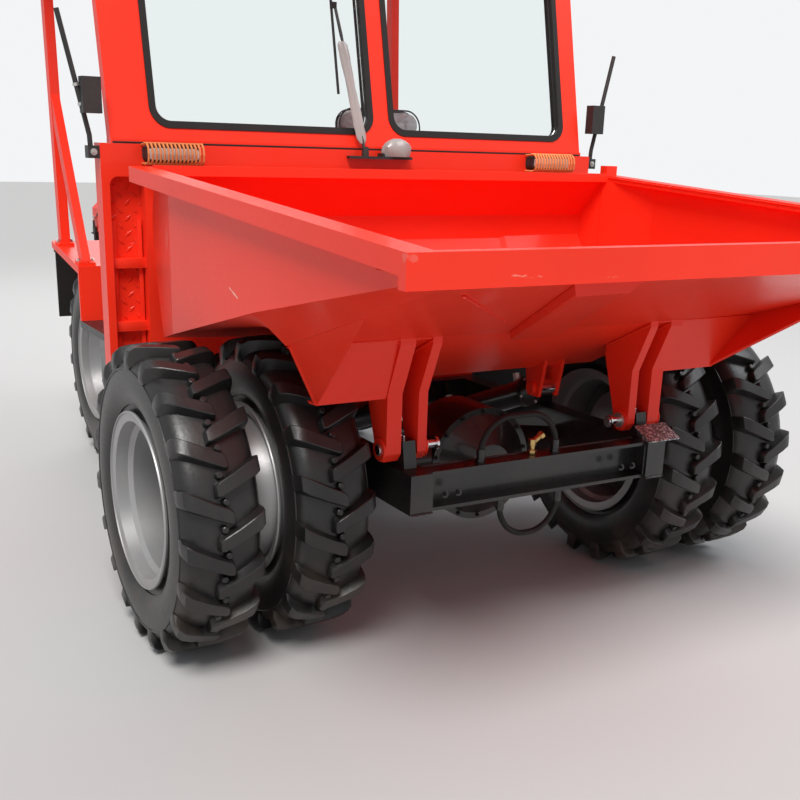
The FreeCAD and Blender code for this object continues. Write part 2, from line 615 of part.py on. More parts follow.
def front_wall():
    """Front wall with its turned flange, middle recess and side step channels."""
    wall = box(-WALL_HALF, WALL_HALF, WALL_Y, WALL_Y + 60, WALL_Z0, SEAM_Z)
    for s in (-1, 1):
        y0, y1, z, r = WALL_Y - 5, WALL_Y + 45, CHANNEL_TOP - CHANNEL_R, CHANNEL_R
        wall = wall.cut(box(s * CHANNEL_X0, s * CHANNEL_X1, y0, y1, WALL_Z0 - 5, z))
        wall = wall.cut(box(s * (CHANNEL_X0 + r), s * (CHANNEL_X1 - r), y0, y1, z - 1, CHANNEL_TOP))
        for x in (CHANNEL_X0 + r, CHANNEL_X1 - r):
            wall = wall.cut(cyl(r, (s * x, y0, z), (s * x, y1, z)))
    wall = wall.cut(box(-700, 700, WALL_Y + 20, WALL_Y + 61, WALL_Z0 + 40, SEAM_Z - 30))
    ledges = []
    for s in (-1, 1):
        for z in LEDGE_Z:
            ledges.append(box(s * (CHANNEL_X0 - 2), s * (CHANNEL_X1 + 2), WALL_Y + 18, WALL_Y + 47, z - 14, z + 14))
    apron = box(-RAIL_OUT, RAIL_OUT, WALL_Y, WALL_Y + 6, RAIL_Z1 + RUN, WALL_Z0 + 4)
    return fuse([wall, apron] + ledges)


def screen_y(z):
    return WALL_Y + 12 + (z - SEAM_Z) * math.tan(SCREEN_RAKE)


# columns: X from, X to of the panes' openings
PANES = ((65.0, 772.0), (-720.0, 10.0))


def slanted(x0, x1, z0, z1, inset, depth, r):
    """Rounded slab in the raked plane of the windscreen, inset along that plane's normal."""
    lean = math.cos(SCREEN_RAKE)
    h = (z1 - z0) / lean
    slab = Part.makeBox(x1 - x0, depth, h, V(x0, 0, 0))
    if r:
        edges = [e for e in slab.Edges if abs(e.BoundBox.YLength - depth) < 1e-6 and e.BoundBox.XLength < 1e-6]
        slab = slab.makeFillet(r, edges)
    slab.rotate(V(0, 0, 0), V(1, 0, 0), -math.degrees(SCREEN_RAKE))
    slab.translate(V(0, screen_y(z0) + inset * lean, z0 - inset * math.sin(SCREEN_RAKE)))
    return slab


def windscreen_frame():
    foot_z = SEAM_Z + RUN + SCREEN_T * math.sin(SCREEN_RAKE)
    frame = slanted(-SCREEN_HALF, SCREEN_HALF, foot_z, SCREEN_TOP, 0, SCREEN_T, 0)
    for x0, x1 in PANES:
        frame = frame.cut(slanted(x0, x1, PANE_Z0, PANE_Z1, -20, SCREEN_T + 40, PANE_R))
    foot = box(-SCREEN_HALF, SCREEN_HALF, WALL_Y + 8, WALL_Y + 54, SEAM_Z + RUN, foot_z + 4)
    return fuse([frame, foot])


def window_seals():
    seals = []
    for x0, x1 in PANES:
        ring = slanted(x0 + RUN, x1 - RUN, PANE_Z0 + RUN, PANE_Z1 - RUN, -3, SCREEN_T + 6, PANE_R)
        hole = slanted(x0 + 20, x1 - 20, PANE_Z0 + 20, PANE_Z1 - 20, -12, SCREEN_T + 24, PANE_R - 18)
        seals.append(ring.cut(hole))
    return seals


def window_panes():
    panes = []
    for x0, x1 in PANES:
        panes.append(slanted(x0 + 20.3, x1 - 20.3, PANE_Z0 + 20.3, PANE_Z1 - 20.3, 14, 6, PANE_R - 18.3))
    return panes


def roof():
    """Roof sheet with a turned edge on two braced rear posts."""
    y0 = screen_y(SCREEN_TOP) - 60
    slab = box(-SCREEN_HALF - 20, SCREEN_HALF + 20, y0, ROOF_BACK, SCREEN_TOP + RUN, ROOF_Z)
    hollow = box(-SCREEN_HALF, SCREEN_HALF, y0 + 190, ROOF_BACK - 20, SCREEN_TOP - 5, SCREEN_TOP + 15)
    parts = [slab.cut(hollow)]
    front, back = GUARD_Y0 + 34, GUARD_Y1 - 62
    joint = (back + 24, guard_top(back) + 0.46 * (SCREEN_TOP - guard_top(back)))
    for s in (-1, 1):
        x = s * POST_X
        for y in (front, back):
            foot = [(y - 28, guard_top(y - 28)), (y + 27, guard_top(y + 27)), (y + 27, guard_top(y + 27) + 12),
                    (y - 28, guard_top(y - 28) + 12)]
            parts.append(plate_x(foot, x - 30, x + 30))
        parts.append(beam((x, back, guard_top(back)), (x, back + 52, SCREEN_TOP + 18), 45, 34, (1, 0, 0)))
        parts.append(beam((x, front, guard_top(front)), (x, *joint), 45, 30, (1, 0, 0)))
    under = plate_x([(y, guard_top(y) + d) for y, d in (
        (GUARD_Y0 - 100, RUN), (GUARD_Y1 + 100, RUN), (GUARD_Y1 + 100, -200), (GUARD_Y0 - 100, -200))], -900, 900)
    return fuse(parts).cut(under)


def guard_top(y):
    return GUARD_TOP0 + (GUARD_TOP1 - GUARD_TOP0) * (y - GUARD_Y0) / (GUARD_Y1 - GUARD_Y0)


def rear_guards():
    """Angular mudguards over the steered wheels, their front walls on the deck."""
    foot = FLOOR_Z + RUN
    outline = [(GUARD_Y0, foot), (GUARD_Y0, GUARD_TOP0), (GUARD_Y1, GUARD_TOP1), (GUARD_Y1, GUARD_TOP1 - SHEET),
               (GUARD_Y0 + SHEET, GUARD_TOP0 - SHEET), (GUARD_Y0 + SHEET, foot)]
    edge = [(GUARD_Y0, foot), (GUARD_Y0, GUARD_TOP0), (GUARD_Y1, GUARD_TOP1), (GUARD_Y1, GUARD_TOP1 - 24),
            (GUARD_Y0 + 12, GUARD_TOP0 - 26), (GUARD_Y0 + 12, foot)]
    inner_y = HOOD_Y0 - RUN
    inner = [(GUARD_Y0, foot), (GUARD_Y0, GUARD_TOP0), (inner_y, guard_top(inner_y)),
             (inner_y, guard_top(inner_y) - SHEET), (GUARD_Y0 + SHEET, GUARD_TOP0 - SHEET), (GUARD_Y0 + SHEET, foot)]
    parts = []
    for s in (-1, 1):
        sheet = plate_x(outline, s * GUARD_IN, s * GUARD_OUT)
        rim_strip = plate_x(edge, s * (GUARD_OUT - 4), s * GUARD_OUT)
        inboard = plate_x(inner, s * BELLY_HALF, s * (GUARD_IN + 1))
        parts.append(fuse([sheet, rim_strip, inboard]))
    return parts


def mud_flaps():
    """Rubber flaps behind the rear wheels, each on its bar."""
    parts = []
    for s in (-1, 1):
        parts.append(box(s * (HOOD_HALF + 10), s * FLAP_OUT, FLAP_Y, FLAP_Y + 8, TYRE_R + 122, FLAP_TOP))
        y0, y1 = FLAP_Y + 8 + RUN, FLAP_Y + 30
        bar = box(s * GUARD_IN, s * FLAP_OUT, y0, y1, FLAP_TOP - 24, FLAP_TOP)
        parts.append(bar.fuse(box(s * GUARD_IN, s * (GUARD_IN + 24), y0, y1, FLAP_TOP - 24, FLAP_TOP + 60)).removeSplitter())
    return parts


def platform_floor():
    """Chequer floor on its two bearers."""
    z0 = FLOOR_Z - DECK_T
    deck = box(-GUARD_OUT, GUARD_OUT, WALL_Y + 60 + RUN, DECK_END, z0, FLOOR_Z)
    tongue = box(-BELLY_HALF, BELLY_HALF, DECK_END - 10, HOOD_Y0 - RUN, z0, FLOOR_Z)
    rails = [box(s * 300, s * 470, WALL_Y + 75, NECK_Y0 - 80, RAIL_Z1 + RUN, z0 + 1) for s in (-1, 1)]
    return fuse([deck, tongue] + rails)


def seat():
    """Seat on its box, in one piece."""
    x = SEAT_X
    y, z = GUARD_Y0, SEAT_Z
    base = box(x - 180, x + 180, y - 316, y - GAP, FLOOR_Z + RUN, z)
    cushion = box(x - 200, x + 200, y - 366, y + 24, z - 5, z + 95)
    cushion = cushion.makeFillet(24, [e for e in cushion.Edges if e.BoundBox.ZLength < 1])
    back = plate_x([(y - 16, z + 85), (y + 64, z + 85), (y + 104, z + 465), (y + 39, z + 465)], x - 195, x + 195)
    back = back.makeFillet(26, [e for e in back.Edges if e.BoundBox.XLength > 300])
    return fuse([base, cushion, back])


def hood_hinge(x0, x1, y0, y1, z0):
    """Knuckle of the hood's hinge, with the foot or leaf that carries it."""
    y, z = HOOD_HINGE
    return cyl(8, (x0, y, z), (x1, y, z)).fuse(box(x0, x1, y0, y1, z0, z))


def hood_housing():
    """Engine housing: side walls, front wall and the grilled rear wall."""
    foot = HOOD_SPLIT - 95
    shell = box(-HOOD_HALF, HOOD_HALF, HOOD_Y0, HOOD_Y1, foot, HOOD_SPLIT)
    shell = shell.cut(box(-HOOD_HALF + 24, HOOD_HALF - 24, HOOD_Y0 + 24, HOOD_Y1 - 24, foot - 5, HOOD_SPLIT + 5))
    belly = box(-BELLY_HALF, BELLY_HALF, HOOD_Y0, HOOD_Y1, REAR_RAIL_Z1 + RUN, foot + 10)
    belly = belly.cut(box(-BELLY_HALF + 20, BELLY_HALF - 20, HOOD_Y0 + 20, HOOD_Y1 - 20, REAR_RAIL_Z1 - 5, foot + 15))
    house = fuse([shell, belly]).cut(box(-130, 130, HOOD_Y0 - 5, HOOD_Y0 + 21, REAR_RAIL_Z1 - 5, foot - 100))
    hinges = [hood_hinge(s * 292, s * 332, HOOD_HINGE[0] - 8, HOOD_HINGE[0] + 8, HOOD_SPLIT - 5) for s in (-1, 1)]
    house = fuse([house] + hinges)
    for i in range(6):
        z = REAR_RAIL_Z1 + 60 + 28 * i
        house = house.cut(box(-170, 170, HOOD_Y1 - 30, HOOD_Y1 + 5, z, z + 13))
    return house


def hood_lid():
    """Engine hood, hinged along its front edge."""
    foot = HOOD_SPLIT + RUN
    outline = [(-HOOD_HALF, foot), (-HOOD_HALF, HOOD_TOP - 30), (-HOOD_HALF + 30, HOOD_TOP),
               (HOOD_HALF - 30, HOOD_TOP), (HOOD_HALF, HOOD_TOP - 30), (HOOD_HALF, foot)]
    inner = [(-HOOD_HALF + 14, HOOD_SPLIT), (-HOOD_HALF + 14, HOOD_TOP - 36), (-HOOD_HALF + 36, HOOD_TOP - 14),
             (HOOD_HALF - 36, HOOD_TOP - 14), (HOOD_HALF - 14, HOOD_TOP - 36), (HOOD_HALF - 14, HOOD_SPLIT)]
    lid = plate_y(outline, HOOD_Y0 + 10, HOOD_Y1).cut(plate_y(inner, HOOD_Y0 + 24, HOOD_Y1 - 14))
    handles = [box(s * (HOOD_HALF - 4), s * (HOOD_HALF + 26), HOOD_Y1 - 250, HOOD_Y1 - 170, foot + 20, foot + 36)
               for s in (-1, 1)]
    hinges = [hood_hinge(s * 250, s * 290, HOOD_HINGE[0], HOOD_Y0 + 12, HOOD_HINGE[1] - 6) for s in (-1, 1)]
    for s in (-1, 1):
        for z in (HOOD_SPLIT + 28, HOOD_SPLIT + 48):
            for y in (HOOD_Y0 + 175, HOOD_Y0 + 375, HOOD_Y0 + 565):
                lid = lid.cut(box(s * (HOOD_HALF - 20), s * (HOOD_HALF + 5), y - 60, y + 60, z - 4, z + 4))
    return fuse([lid] + handles + hinges)


def engine_block():
    return box(-160, 160, ENGINE_Y0, ENGINE_Y1, REAR_RAIL_Z1 + RUN, HOOD_SPLIT - 25)


def drive_train():
    """Gearbox block under the platform and the shaft to the front axle."""
    gearbox = box(-135, 135, GEARBOX_Y0, GEARBOX_Y1, TYRE_R - 48, FLOOR_Z - DECK_T - GAP)
    y0, y1 = GEARBOX_Y1 - 5, ENGINE_Y0 - RUN
    bell = plate_x([(y0, TYRE_R + 2), (y0, TYRE_R + 206), (y1, TYRE_R + 317), (y1, REAR_RAIL_Z1 + 5)], -110, 110)
    shaft = cyl(22, (SHAFT_X, NOSE_Y + 20, TYRE_R), (SHAFT_X, GEARBOX_Y0 + 5, TYRE_R))
    front_cup = cyl(42, (SHAFT_X, NOSE_Y + RUN, TYRE_R), (SHAFT_X, NOSE_Y + 36, TYRE_R))
    rear_cup = cyl(42, (SHAFT_X, GEARBOX_Y0 - 40, TYRE_R), (SHAFT_X, GEARBOX_Y0 + 5, TYRE_R))
    return fuse([gearbox, bell, shaft, front_cup, rear_cup])


def exhaust_pipe():
    """Silencer on a branch from the housing's side, with its tail pipe."""
    x, y = EXHAUST_X, EXHAUST_Y
    z = HOOD_SPLIT
    tail = pipe([(x, y, z + 190), (x, y, z + 470), (x, y + 60, z + 550)], 24, 60)
    silencer = cyl(50, (x, y, z - 35), (x, y, z + 210))
    branch = cyl(18, (-HOOD_HALF - RUN, y, z - 20), (x, y, z - 20))
    return fuse([tail, silencer, branch])


def fuel_tank():
    """Tank slung under the deck on the right side."""
    tank = box(-TANK_OUT, -TANK_IN, *TANK_Y, TYRE_R + 2, FLOOR_Z - DECK_T - RUN)
    along = [e for e in tank.Edges if e.BoundBox.YLength > e.BoundBox.XLength + e.BoundBox.ZLength]
    return tank.makeFillet(36, along)


# corners Y, Z of the console's sloped face
DASH_TOP = (740.0, SEAM_Z - 75.0)
DASH_EDGE = (820.0, SEAM_Z - 140.0)
DASH_Z0 = SEAM_Z - 190.0
COLUMN_LENGTH = 56.0


def dash():
    """Instrument console on its leg."""
    y0 = WALL_Y + 60 + RUN
    console = plate_x([(y0, DASH_Z0), (y0, DASH_TOP[1]), DASH_TOP, DASH_EDGE, (DASH_EDGE[0], DASH_Z0)], 120, 690)
    leg = plate_x([(y0, FLOOR_Z + RUN), (y0, DASH_Z0), (DASH_TOP[0], DASH_Z0), (DASH_TOP[0] - 40, FLOOR_Z + RUN)],
                  SEAT_X - 20, SEAT_X + 20)
    return [console, leg]


def steering_wheel():
    """Steering wheel square to the console's sloped face, on its column."""
    across = V(0, DASH_EDGE[0] - DASH_TOP[0], DASH_EDGE[1] - DASH_TOP[1]).normalize()
    axis = V(1, 0, 0).cross(across)
    middle = V(SEAT_X, (DASH_TOP[0] + DASH_EDGE[0]) / 2, (DASH_TOP[1] + DASH_EDGE[1]) / 2)
    c = middle + axis * COLUMN_LENGTH
    ring = Part.makeTorus(170, 14, c, axis)
    boss = Part.makeCylinder(36, 40, c - axis * 34, axis)
    column = Part.makeCylinder(22, COLUMN_LENGTH - RUN, middle + axis * RUN, axis)
    parts = [ring, boss, column]
    for a in (90, 210, 330):
        d = V(1, 0, 0) * math.cos(math.radians(a)) + across * math.sin(math.radians(a))
        parts.append(Part.makeCylinder(9, 168, c, d))
    return fuse(parts)


# levers, columns: X, Y of the foot, height, lean forward
LEVERS = (
    (640.0, GUARD_Y0 - 401.0, 420.0, 30.0), (690.0, GUARD_Y0 - 396.0, 380.0, 20.0),
    (180.0, GUARD_Y0 - 296.0, 460.0, 25.0),
)
PEDAL_X = (390.0, 550.0, 630.0)
PEDAL_Y = WALL_Y + 225.0


def levers():
    parts = []
    for x, y, h, lean in LEVERS:
        foot = box(x - 20, x + 20, y - 20, y + 20, FLOOR_Z + RUN, FLOOR_Z + 14)
        stem = cyl(8, (x, y, FLOOR_Z + 5), (x, y - lean, FLOOR_Z + h))
        knob = Part.makeSphere(21, V(x, y - lean, FLOOR_Z + h))
        parts.append(fuse([foot, stem, knob]))
    for x in PEDAL_X:
        pad = box(x - 32, x + 32, PEDAL_Y, PEDAL_Y + 12, FLOOR_Z + 90, FLOOR_Z + 170)
        arm = box(x - 7, x + 7, PEDAL_Y + 2, PEDAL_Y + 16, FLOOR_Z + RUN, FLOOR_Z + 120)
        parts.append(fuse([pad, arm]))
    return parts


LAMP_X = 675.0
LAMP_HALF = 90.0
LAMP_Z0 = SEAM_Z - 56.0
LAMP_Z1 = SEAM_Z + 6.0
GUARD_HOOPS = 15


def headlamps():
    parts = []
    for s in (-1, 1):
        body = box(s * (LAMP_X - LAMP_HALF + 8), s * (LAMP_X + LAMP_HALF - 8), WALL_Y - 52, WALL_Y - RUN,
                   LAMP_Z0 + 8, LAMP_Z1 - 8)
        parts.append(body)
    return parts


def lamp_guards():
    """Ribbed guards in front of the headlamps."""
    parts = []
    for s in (-1, 1):
        x0, x1 = LAMP_X - LAMP_HALF, LAMP_X + LAMP_HALF
        frame = box(s * x0, s * x1, WALL_Y - 70, WALL_Y - RUN, LAMP_Z0, LAMP_Z1)
        hole = box(s * (x0 + 7), s * (x1 - 7), WALL_Y - 80, WALL_Y + 5, LAMP_Z0 + 7, LAMP_Z1 - 7)
        ribs = []
        pitch = (x1 - x0) / GUARD_HOOPS
        for i in range(1, GUARD_HOOPS):
            x = x0 + i * pitch
            ribs.append(box(s * (x - 3), s * (x + 3), WALL_Y - 70, WALL_Y - 56, LAMP_Z0 + 2, LAMP_Z1 - 2))
        parts.append(fuse([frame.cut(hole)] + ribs))
    return parts


def wiper_base():
    """Bracket at the foot of the centre pillar, on the wall's front."""
    y0, y1 = WALL_Y - 24, WALL_Y - RUN
    plate = plate_z([(-100, y1), (-100, y0), (13, y0 - 28), (126, y0), (126, y1)], SEAM_Z - 26, SEAM_Z - 18)
    return plate.fuse(box(10, 110, y0 - 10, y1, SEAM_Z - 19, SEAM_Z - 8))


def mirrors():
    """Mirrors on round arms, each held by a block on the wall's outer edge."""
    parts = []
    for s in (-1, 1):
        x, y = WALL_HALF + 20, WALL_Y + 20
        arm = pipe([(s * x, y, SEAM_Z - 24), (s * (x + 2), y, SEAM_Z + 20), (s * (x + 72), y, SEAM_Z + 340)], 7, 30)
        block = box(s * (WALL_HALF + RUN), s * (x + 12), y - 18, y + 18, SEAM_Z - 42, SEAM_Z - 8)
        glass = box(s * (x - 29), s * (x + 23), y - 34, y + 4, SEAM_Z + 77, SEAM_Z + 172)
        parts.append(fuse([arm, block, glass]))
    return parts


def rear_lamps():
    return [box(s * 330, s * 410, HOOD_Y1 + RUN, HOOD_Y1 + 30, HOOD_SPLIT - 80, HOOD_SPLIT - 15) for s in (-1, 1)]


HOSE_R = 8.0
HOSE_Y = RAIL_FRONT + 36.0
HOSE_RUN = 48.0


def loop(x0, x1, y, z, way):
    """Points of a hose that leaves and meets the beam upright; way is 1 for up, -1 for down."""
    run = HOSE_RUN
    across = run * (math.cos(math.radians(30)) + 0.5)
    half = [(0.0, 0.0), (0.0, run), (run * 0.5, run * 1.866), (across, run * 2.366)]
    points = [(x0 + a, y, z + way * b) for a, b in half]
    return points + [(x1 - a, y, z + way * b) for a, b in reversed(half)]


def hoses():
    """Hose arching over the cross beam and the loop hanging below it."""
    over = pipe(loop(-190, 50, HOSE_Y, RAIL_Z1 + RUN, 1), HOSE_R)
    under = pipe(loop(-120, 70, HOSE_Y, RAIL_Z0 - RUN, -1), HOSE_R)
    return [over, under]


def blank_plate():
    """Sloping plate on a foot, on the front end of the left longeron."""
    y0, y1, z = RAIL_FRONT - 30, RAIL_FRONT + 38, RAIL_Z1 + RUN
    slope = plate_x([(y0, z + 10), (y1, z + 40), (y1, z + 43), (y0, z + 13)], RAIL_IN - 23, RAIL_OUT + 24)
    foot = plate_x([(y0 + 32, z), (y0 + 58, z), (y0 + 58, z + 38), (y0 + 32, z + 27)], RAIL_IN + 2, RAIL_OUT - 2)
    return fuse([slope, foot])


# Export, node by node

front_tyres, front_rims = front_wheels()
rear_tyres, rear_rim = rear_wheel()
knuckle_left = knuckle()

save("chassis_frame", chassis())
save("hinge_pins", pins())
save("front_axle", front_axle())
save("rear_axle", rear_axle())
save("drive_train", drive_train())
save("engine_block", engine_block())
save("front_wall", front_wall())
save("windscreen_frame", windscreen_frame())
save("window_seals", window_seals())
save("window_panes", window_panes())
save("roof_and_posts", roof())
save("platform_floor", platform_floor())
save("rear_mudguards", rear_guards())
save("mud_flaps", mud_flaps())
save("engine_housing", hood_housing())
save("engine_hood", hood_lid())
save("exhaust_pipe", exhaust_pipe())
save("fuel_tank", fuel_tank())
save("seat", seat())
save("steering_wheel", steering_wheel())
save("dash_console", dash())
save("levers_and_pedals", levers())
save("headlamps", headlamps())
save("lamp_guards", lamp_guards())
save("wiper_base", wiper_base())
save("mirrors", mirrors())
save("rear_lamps", rear_lamps())
save("hoses", hoses())
save("blank_plate", blank_plate())
save("skip_shell", skip_shell())
save("skip_rim", skip_frame())
save("skip_lugs", skip_lugs())
save("tip_cylinder_barrels", [ram_barrel(-RAM_X), ram_barrel(RAM_X)])
save("tip_cylinder_rods", [ram_rod(-RAM_X), ram_rod(RAM_X)])
save("front_tyres_left", front_tyres)
save("front_rims_left", front_rims)
save("front_tyres_right", [mirror(t) for t in front_tyres])
save("front_rims_right", mirror(front_rims))
save("rear_tyre_left", rear_tyres)
save("rear_rim_left", rear_rim)
save("rear_tyre_right", [mirror(t) for t in rear_tyres])
save("rear_rim_right", mirror(rear_rim))
save("knuckle_left", knuckle_left)
save("knuckle_right", mirror(knuckle_left))
save("tie_rod", tie_rod())
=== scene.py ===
import bpy
import bmesh
import json
import math
import random
from mathutils import Matrix, Vector


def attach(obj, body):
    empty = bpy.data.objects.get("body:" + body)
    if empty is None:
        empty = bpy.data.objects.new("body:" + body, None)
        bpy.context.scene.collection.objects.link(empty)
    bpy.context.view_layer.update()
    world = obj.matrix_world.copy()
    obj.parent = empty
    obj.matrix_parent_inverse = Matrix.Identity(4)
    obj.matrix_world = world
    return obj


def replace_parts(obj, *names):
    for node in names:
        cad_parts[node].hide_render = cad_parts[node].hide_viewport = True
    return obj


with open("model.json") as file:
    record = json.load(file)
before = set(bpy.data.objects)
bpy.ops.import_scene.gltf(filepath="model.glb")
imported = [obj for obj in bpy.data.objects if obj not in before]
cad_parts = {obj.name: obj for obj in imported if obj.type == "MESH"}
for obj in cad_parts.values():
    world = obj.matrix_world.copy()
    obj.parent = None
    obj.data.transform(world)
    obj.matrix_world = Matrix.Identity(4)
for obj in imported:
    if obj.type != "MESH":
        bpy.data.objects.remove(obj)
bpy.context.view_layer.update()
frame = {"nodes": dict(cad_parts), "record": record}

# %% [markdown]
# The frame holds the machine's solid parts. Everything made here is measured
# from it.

random.seed(7)

# %% [markdown]
# A few helpers serve every cell: they put a mesh or a lamp in the scene, build
# shader nodes, and make outlines and skins from lists of points.

# %% Mesh and object helpers
WELD = 1e-5


def placed(name, data):
    """An object with this data, put in the scene."""
    thing = bpy.data.objects.new(name, data)
    bpy.context.collection.objects.link(thing)
    return thing


def as_mesh(name, bm):
    data = bpy.data.meshes.new(name)
    bm.to_mesh(data)
    bm.free()
    return data


def hard_edges(bm, degrees):
    return [e for e in bm.edges if e.is_manifold and e.calc_face_angle(0.0) > math.radians(degrees)]


def soften(bm, edges, offset, segments=2, profile=0.5):
    bmesh.ops.bevel(bm, geom=edges, offset=offset, offset_type="OFFSET", segments=segments, profile=profile,
                    affect="EDGES", material=-1, clamp_overlap=True)


def loft(bm, rings, capped=True):
    """Skin between rings of points, with both ends closed."""
    rings = [[bm.verts.new(c) for c in ring] for ring in rings]
    for a, b in zip(rings, rings[1:]):
        for k in range(len(a)):
            n = (k + 1) % len(a)
            bm.faces.new([a[k], a[n], b[n], b[k]])
    if capped:
        bm.faces.new(rings[0])
        bm.faces.new(rings[-1])


def rounded(middle, reach, r, steps):
    """Outline of a rounded oblong; reach goes from its middle to the centres of its corners."""
    return [(middle[0] + sx * reach[0] + r * math.cos(a), middle[1] + sy * reach[1] + r * math.sin(a))
            for sx, sy, start in ((1, 1, 0), (-1, 1, 90), (-1, -1, 180), (1, -1, 270))
            for a in (math.radians(start + 90.0 * k / (steps - 1)) for k in range(steps))]


# %% Node group helpers


def group(name, inputs, outputs):
    """A node group with its sockets; inputs and outputs are (name, kind, default)."""
    tree = bpy.data.node_groups.new(name, "ShaderNodeTree")
    for label, kind, default in inputs:
        socket = tree.interface.new_socket(label, in_out="INPUT", socket_type="NodeSocket" + kind)
        if default is not None:
            socket.default_value = default
    for label, kind in outputs:
        tree.interface.new_socket(label, in_out="OUTPUT", socket_type="NodeSocket" + kind)
    return tree, tree.nodes.new("NodeGroupInput"), tree.nodes.new("NodeGroupOutput")


def add(tree, kind, **settings):
    """A node with its settings; a key that names an input is a value or a linked socket."""
    node = tree.nodes.new("ShaderNode" + kind)
    for key, value in settings.items():
        if hasattr(node, key) and key not in node.inputs:
            setattr(node, key, value)
    for key, value in settings.items():
        if key in node.inputs:
            feed(tree, node.inputs[key], value)
    return node


def feed(tree, socket, value):
    if isinstance(value, bpy.types.NodeSocket):
        tree.links.new(value, socket)
    else:
        socket.default_value = value


def maths(tree, operation, *values, clamp=False):
    node = tree.nodes.new("ShaderNodeMath")
    node.operation = operation
    node.use_clamp = clamp
    for socket, value in zip(node.inputs, values):
        feed(tree, socket, value)
    return node.outputs[0]


def vector_maths(tree, operation, *values, out="Vector"):
    node = tree.nodes.new("ShaderNodeVectorMath")
    node.operation = operation
    for socket, value in zip(node.inputs, values):
        feed(tree, socket, value)
    return node.outputs[out]


def ramp(tree, value, low, high):
    """0 below low, 1 above high, smooth between."""
    node = tree.nodes.new("ShaderNodeMapRange")
    node.interpolation_type = "SMOOTHSTEP"
    feed(tree, node.inputs["Value"], value)
    feed(tree, node.inputs["From Min"], low)
    feed(tree, node.inputs["From Max"], high)
    return node.outputs["Result"]


def mix(tree, amount, first, second):
    """Colour between first and second."""
    node = tree.nodes.new("ShaderNodeMix")
    node.data_type = "RGBA"
    feed(tree, node.inputs["Factor"], amount)
    feed(tree, node.inputs["A"], first)
    feed(tree, node.inputs["B"], second)
    return node.outputs["Result"]


def effect(tree, name, **settings):
    """A use of one of the shared node groups."""
    return add(tree, "Group", node_tree=bpy.data.node_groups[name], **settings)

# %% [markdown]
# The photograph was taken standing at the machine's front right corner, the
# eye a little above the skip's rim. The camera is set by its place and three
# turns, worked out once from the rims, wheels and windscreen. A small vertical
# shift stands for the way the picture was cropped.

# %% The camera
EYE = Vector((-1.71589, -3.27562, 1.27771))
YAW, PITCH, ROLL = math.radians(30.49), math.radians(17.56), math.radians(1.76)
FOCAL_PX, MIDDLE_PX, FRAME_PX = 1070.39, (399.2, 485.9), 800.0
ahead = Vector((math.sin(YAW) * math.cos(PITCH), math.cos(YAW) * math.cos(PITCH), -math.sin(PITCH)))
level = Vector((math.cos(YAW), -math.sin(YAW), 0.0))
upright = level.cross(ahead)
right = level * math.cos(ROLL) + upright * math.sin(ROLL)
above = upright * math.cos(ROLL) - level * math.sin(ROLL)
lens = bpy.data.cameras.new("photo_camera")
lens.sensor_width = 36.0
lens.lens = FOCAL_PX / FRAME_PX * 36.0
lens.shift_x = (FRAME_PX / 2 - MIDDLE_PX[0]) / FRAME_PX
lens.shift_y = (MIDDLE_PX[1] - FRAME_PX / 2) / FRAME_PX
lens.clip_end = 60.0
camera = placed("photo_camera", lens)
camera.matrix_world = Matrix((right, above, -ahead)).transposed().to_4x4()
camera.location = EYE
bpy.context.scene.camera = camera
print("lens", round(lens.lens, 2), "mm, shift", round(lens.shift_y, 3))

# %% [markdown]
# Soft daylight is a pale sky with one wide sun on the side the photograph's
# highlights come from, and two weak lamps at the left and behind. The floor is
# plain and pale. The world is white to camera and see-through rays, and half
# so to glossy ones.

# %% Light, floor and colour management
scene = bpy.context.scene
scene.view_settings.view_transform = "Standard"
GLOSSY_SHARE = 0.45
LOOK_AT = Vector((0, 0, 0.8))
world = bpy.data.worlds.new("soft_sky")
scene.world = world
world.use_nodes = True
sky = world.node_tree
sky.nodes.clear()
lit = add(sky, "Background", Color=(0.93, 0.95, 1.0, 1), Strength=0.42)
seen = add(sky, "Background", Color=(0.90, 0.91, 0.92, 1), Strength=1.0)
ray = add(sky, "LightPath").outputs
direct = maths(sky, "MAXIMUM", ray["Is Camera Ray"], ray["Is Transmission Ray"])
blend_sky = add(sky, "MixShader", Fac=maths(sky, "MULTIPLY_ADD", ray["Is Glossy Ray"], GLOSSY_SHARE, direct))
sky.links.new(lit.outputs[0], blend_sky.inputs[1])
sky.links.new(seen.outputs[0], blend_sky.inputs[2])
add(sky, "OutputWorld", Surface=blend_sky.outputs[0])


def lamp(name, kind, place, power, tint=(1, 1, 1), size=3.5):
    """A soft lamp that looks at the machine: AREA with a size in metres, or SUN with one in radians."""
    data = bpy.data.lights.new(name, kind)
    data.energy = power
    data.color = tint
    if kind == "AREA":
        data.shape = "DISK"
        data.size = size
    else:
        data.angle = size
    made = placed(name, data)
    made.location = place
    made.rotation_euler = (LOOK_AT - Vector(place)).to_track_quat("-Z", "Y").to_euler()


lamp("high_front", "SUN", (-3.0, -4.4, 8.6), 3.1, (1.0, 0.98, 0.95), 0.45)
lamp("broad_left", "AREA", (4.6, -2.4, 6.0), 150, (0.95, 0.97, 1.0))
lamp("back_fill", "AREA", (1.0, 6.0, 5.0), 110)


def plain_floor():
    bm = bmesh.new()
    bmesh.ops.create_grid(bm, x_segments=1, y_segments=1, size=30.0)
    floor = placed("pale_floor", as_mesh("pale_floor", bm))
    coat = bpy.data.materials.new("pale_floor")
    coat.use_nodes = True
    sockets = coat.node_tree.nodes["Principled BSDF"].inputs
    sockets["Base Color"].default_value = (0.50, 0.50, 0.50, 1)
    sockets["Roughness"].default_value = 0.85
    floor.data.materials.append(coat)


plain_floor()

# %% [markdown]
# Shared effects are small node groups that give only masks, values and
# normals. Paint has an orange peel skin and faint scratches, everything low
# on the machine picks up dust, and plates carry a raised lozenge pattern.

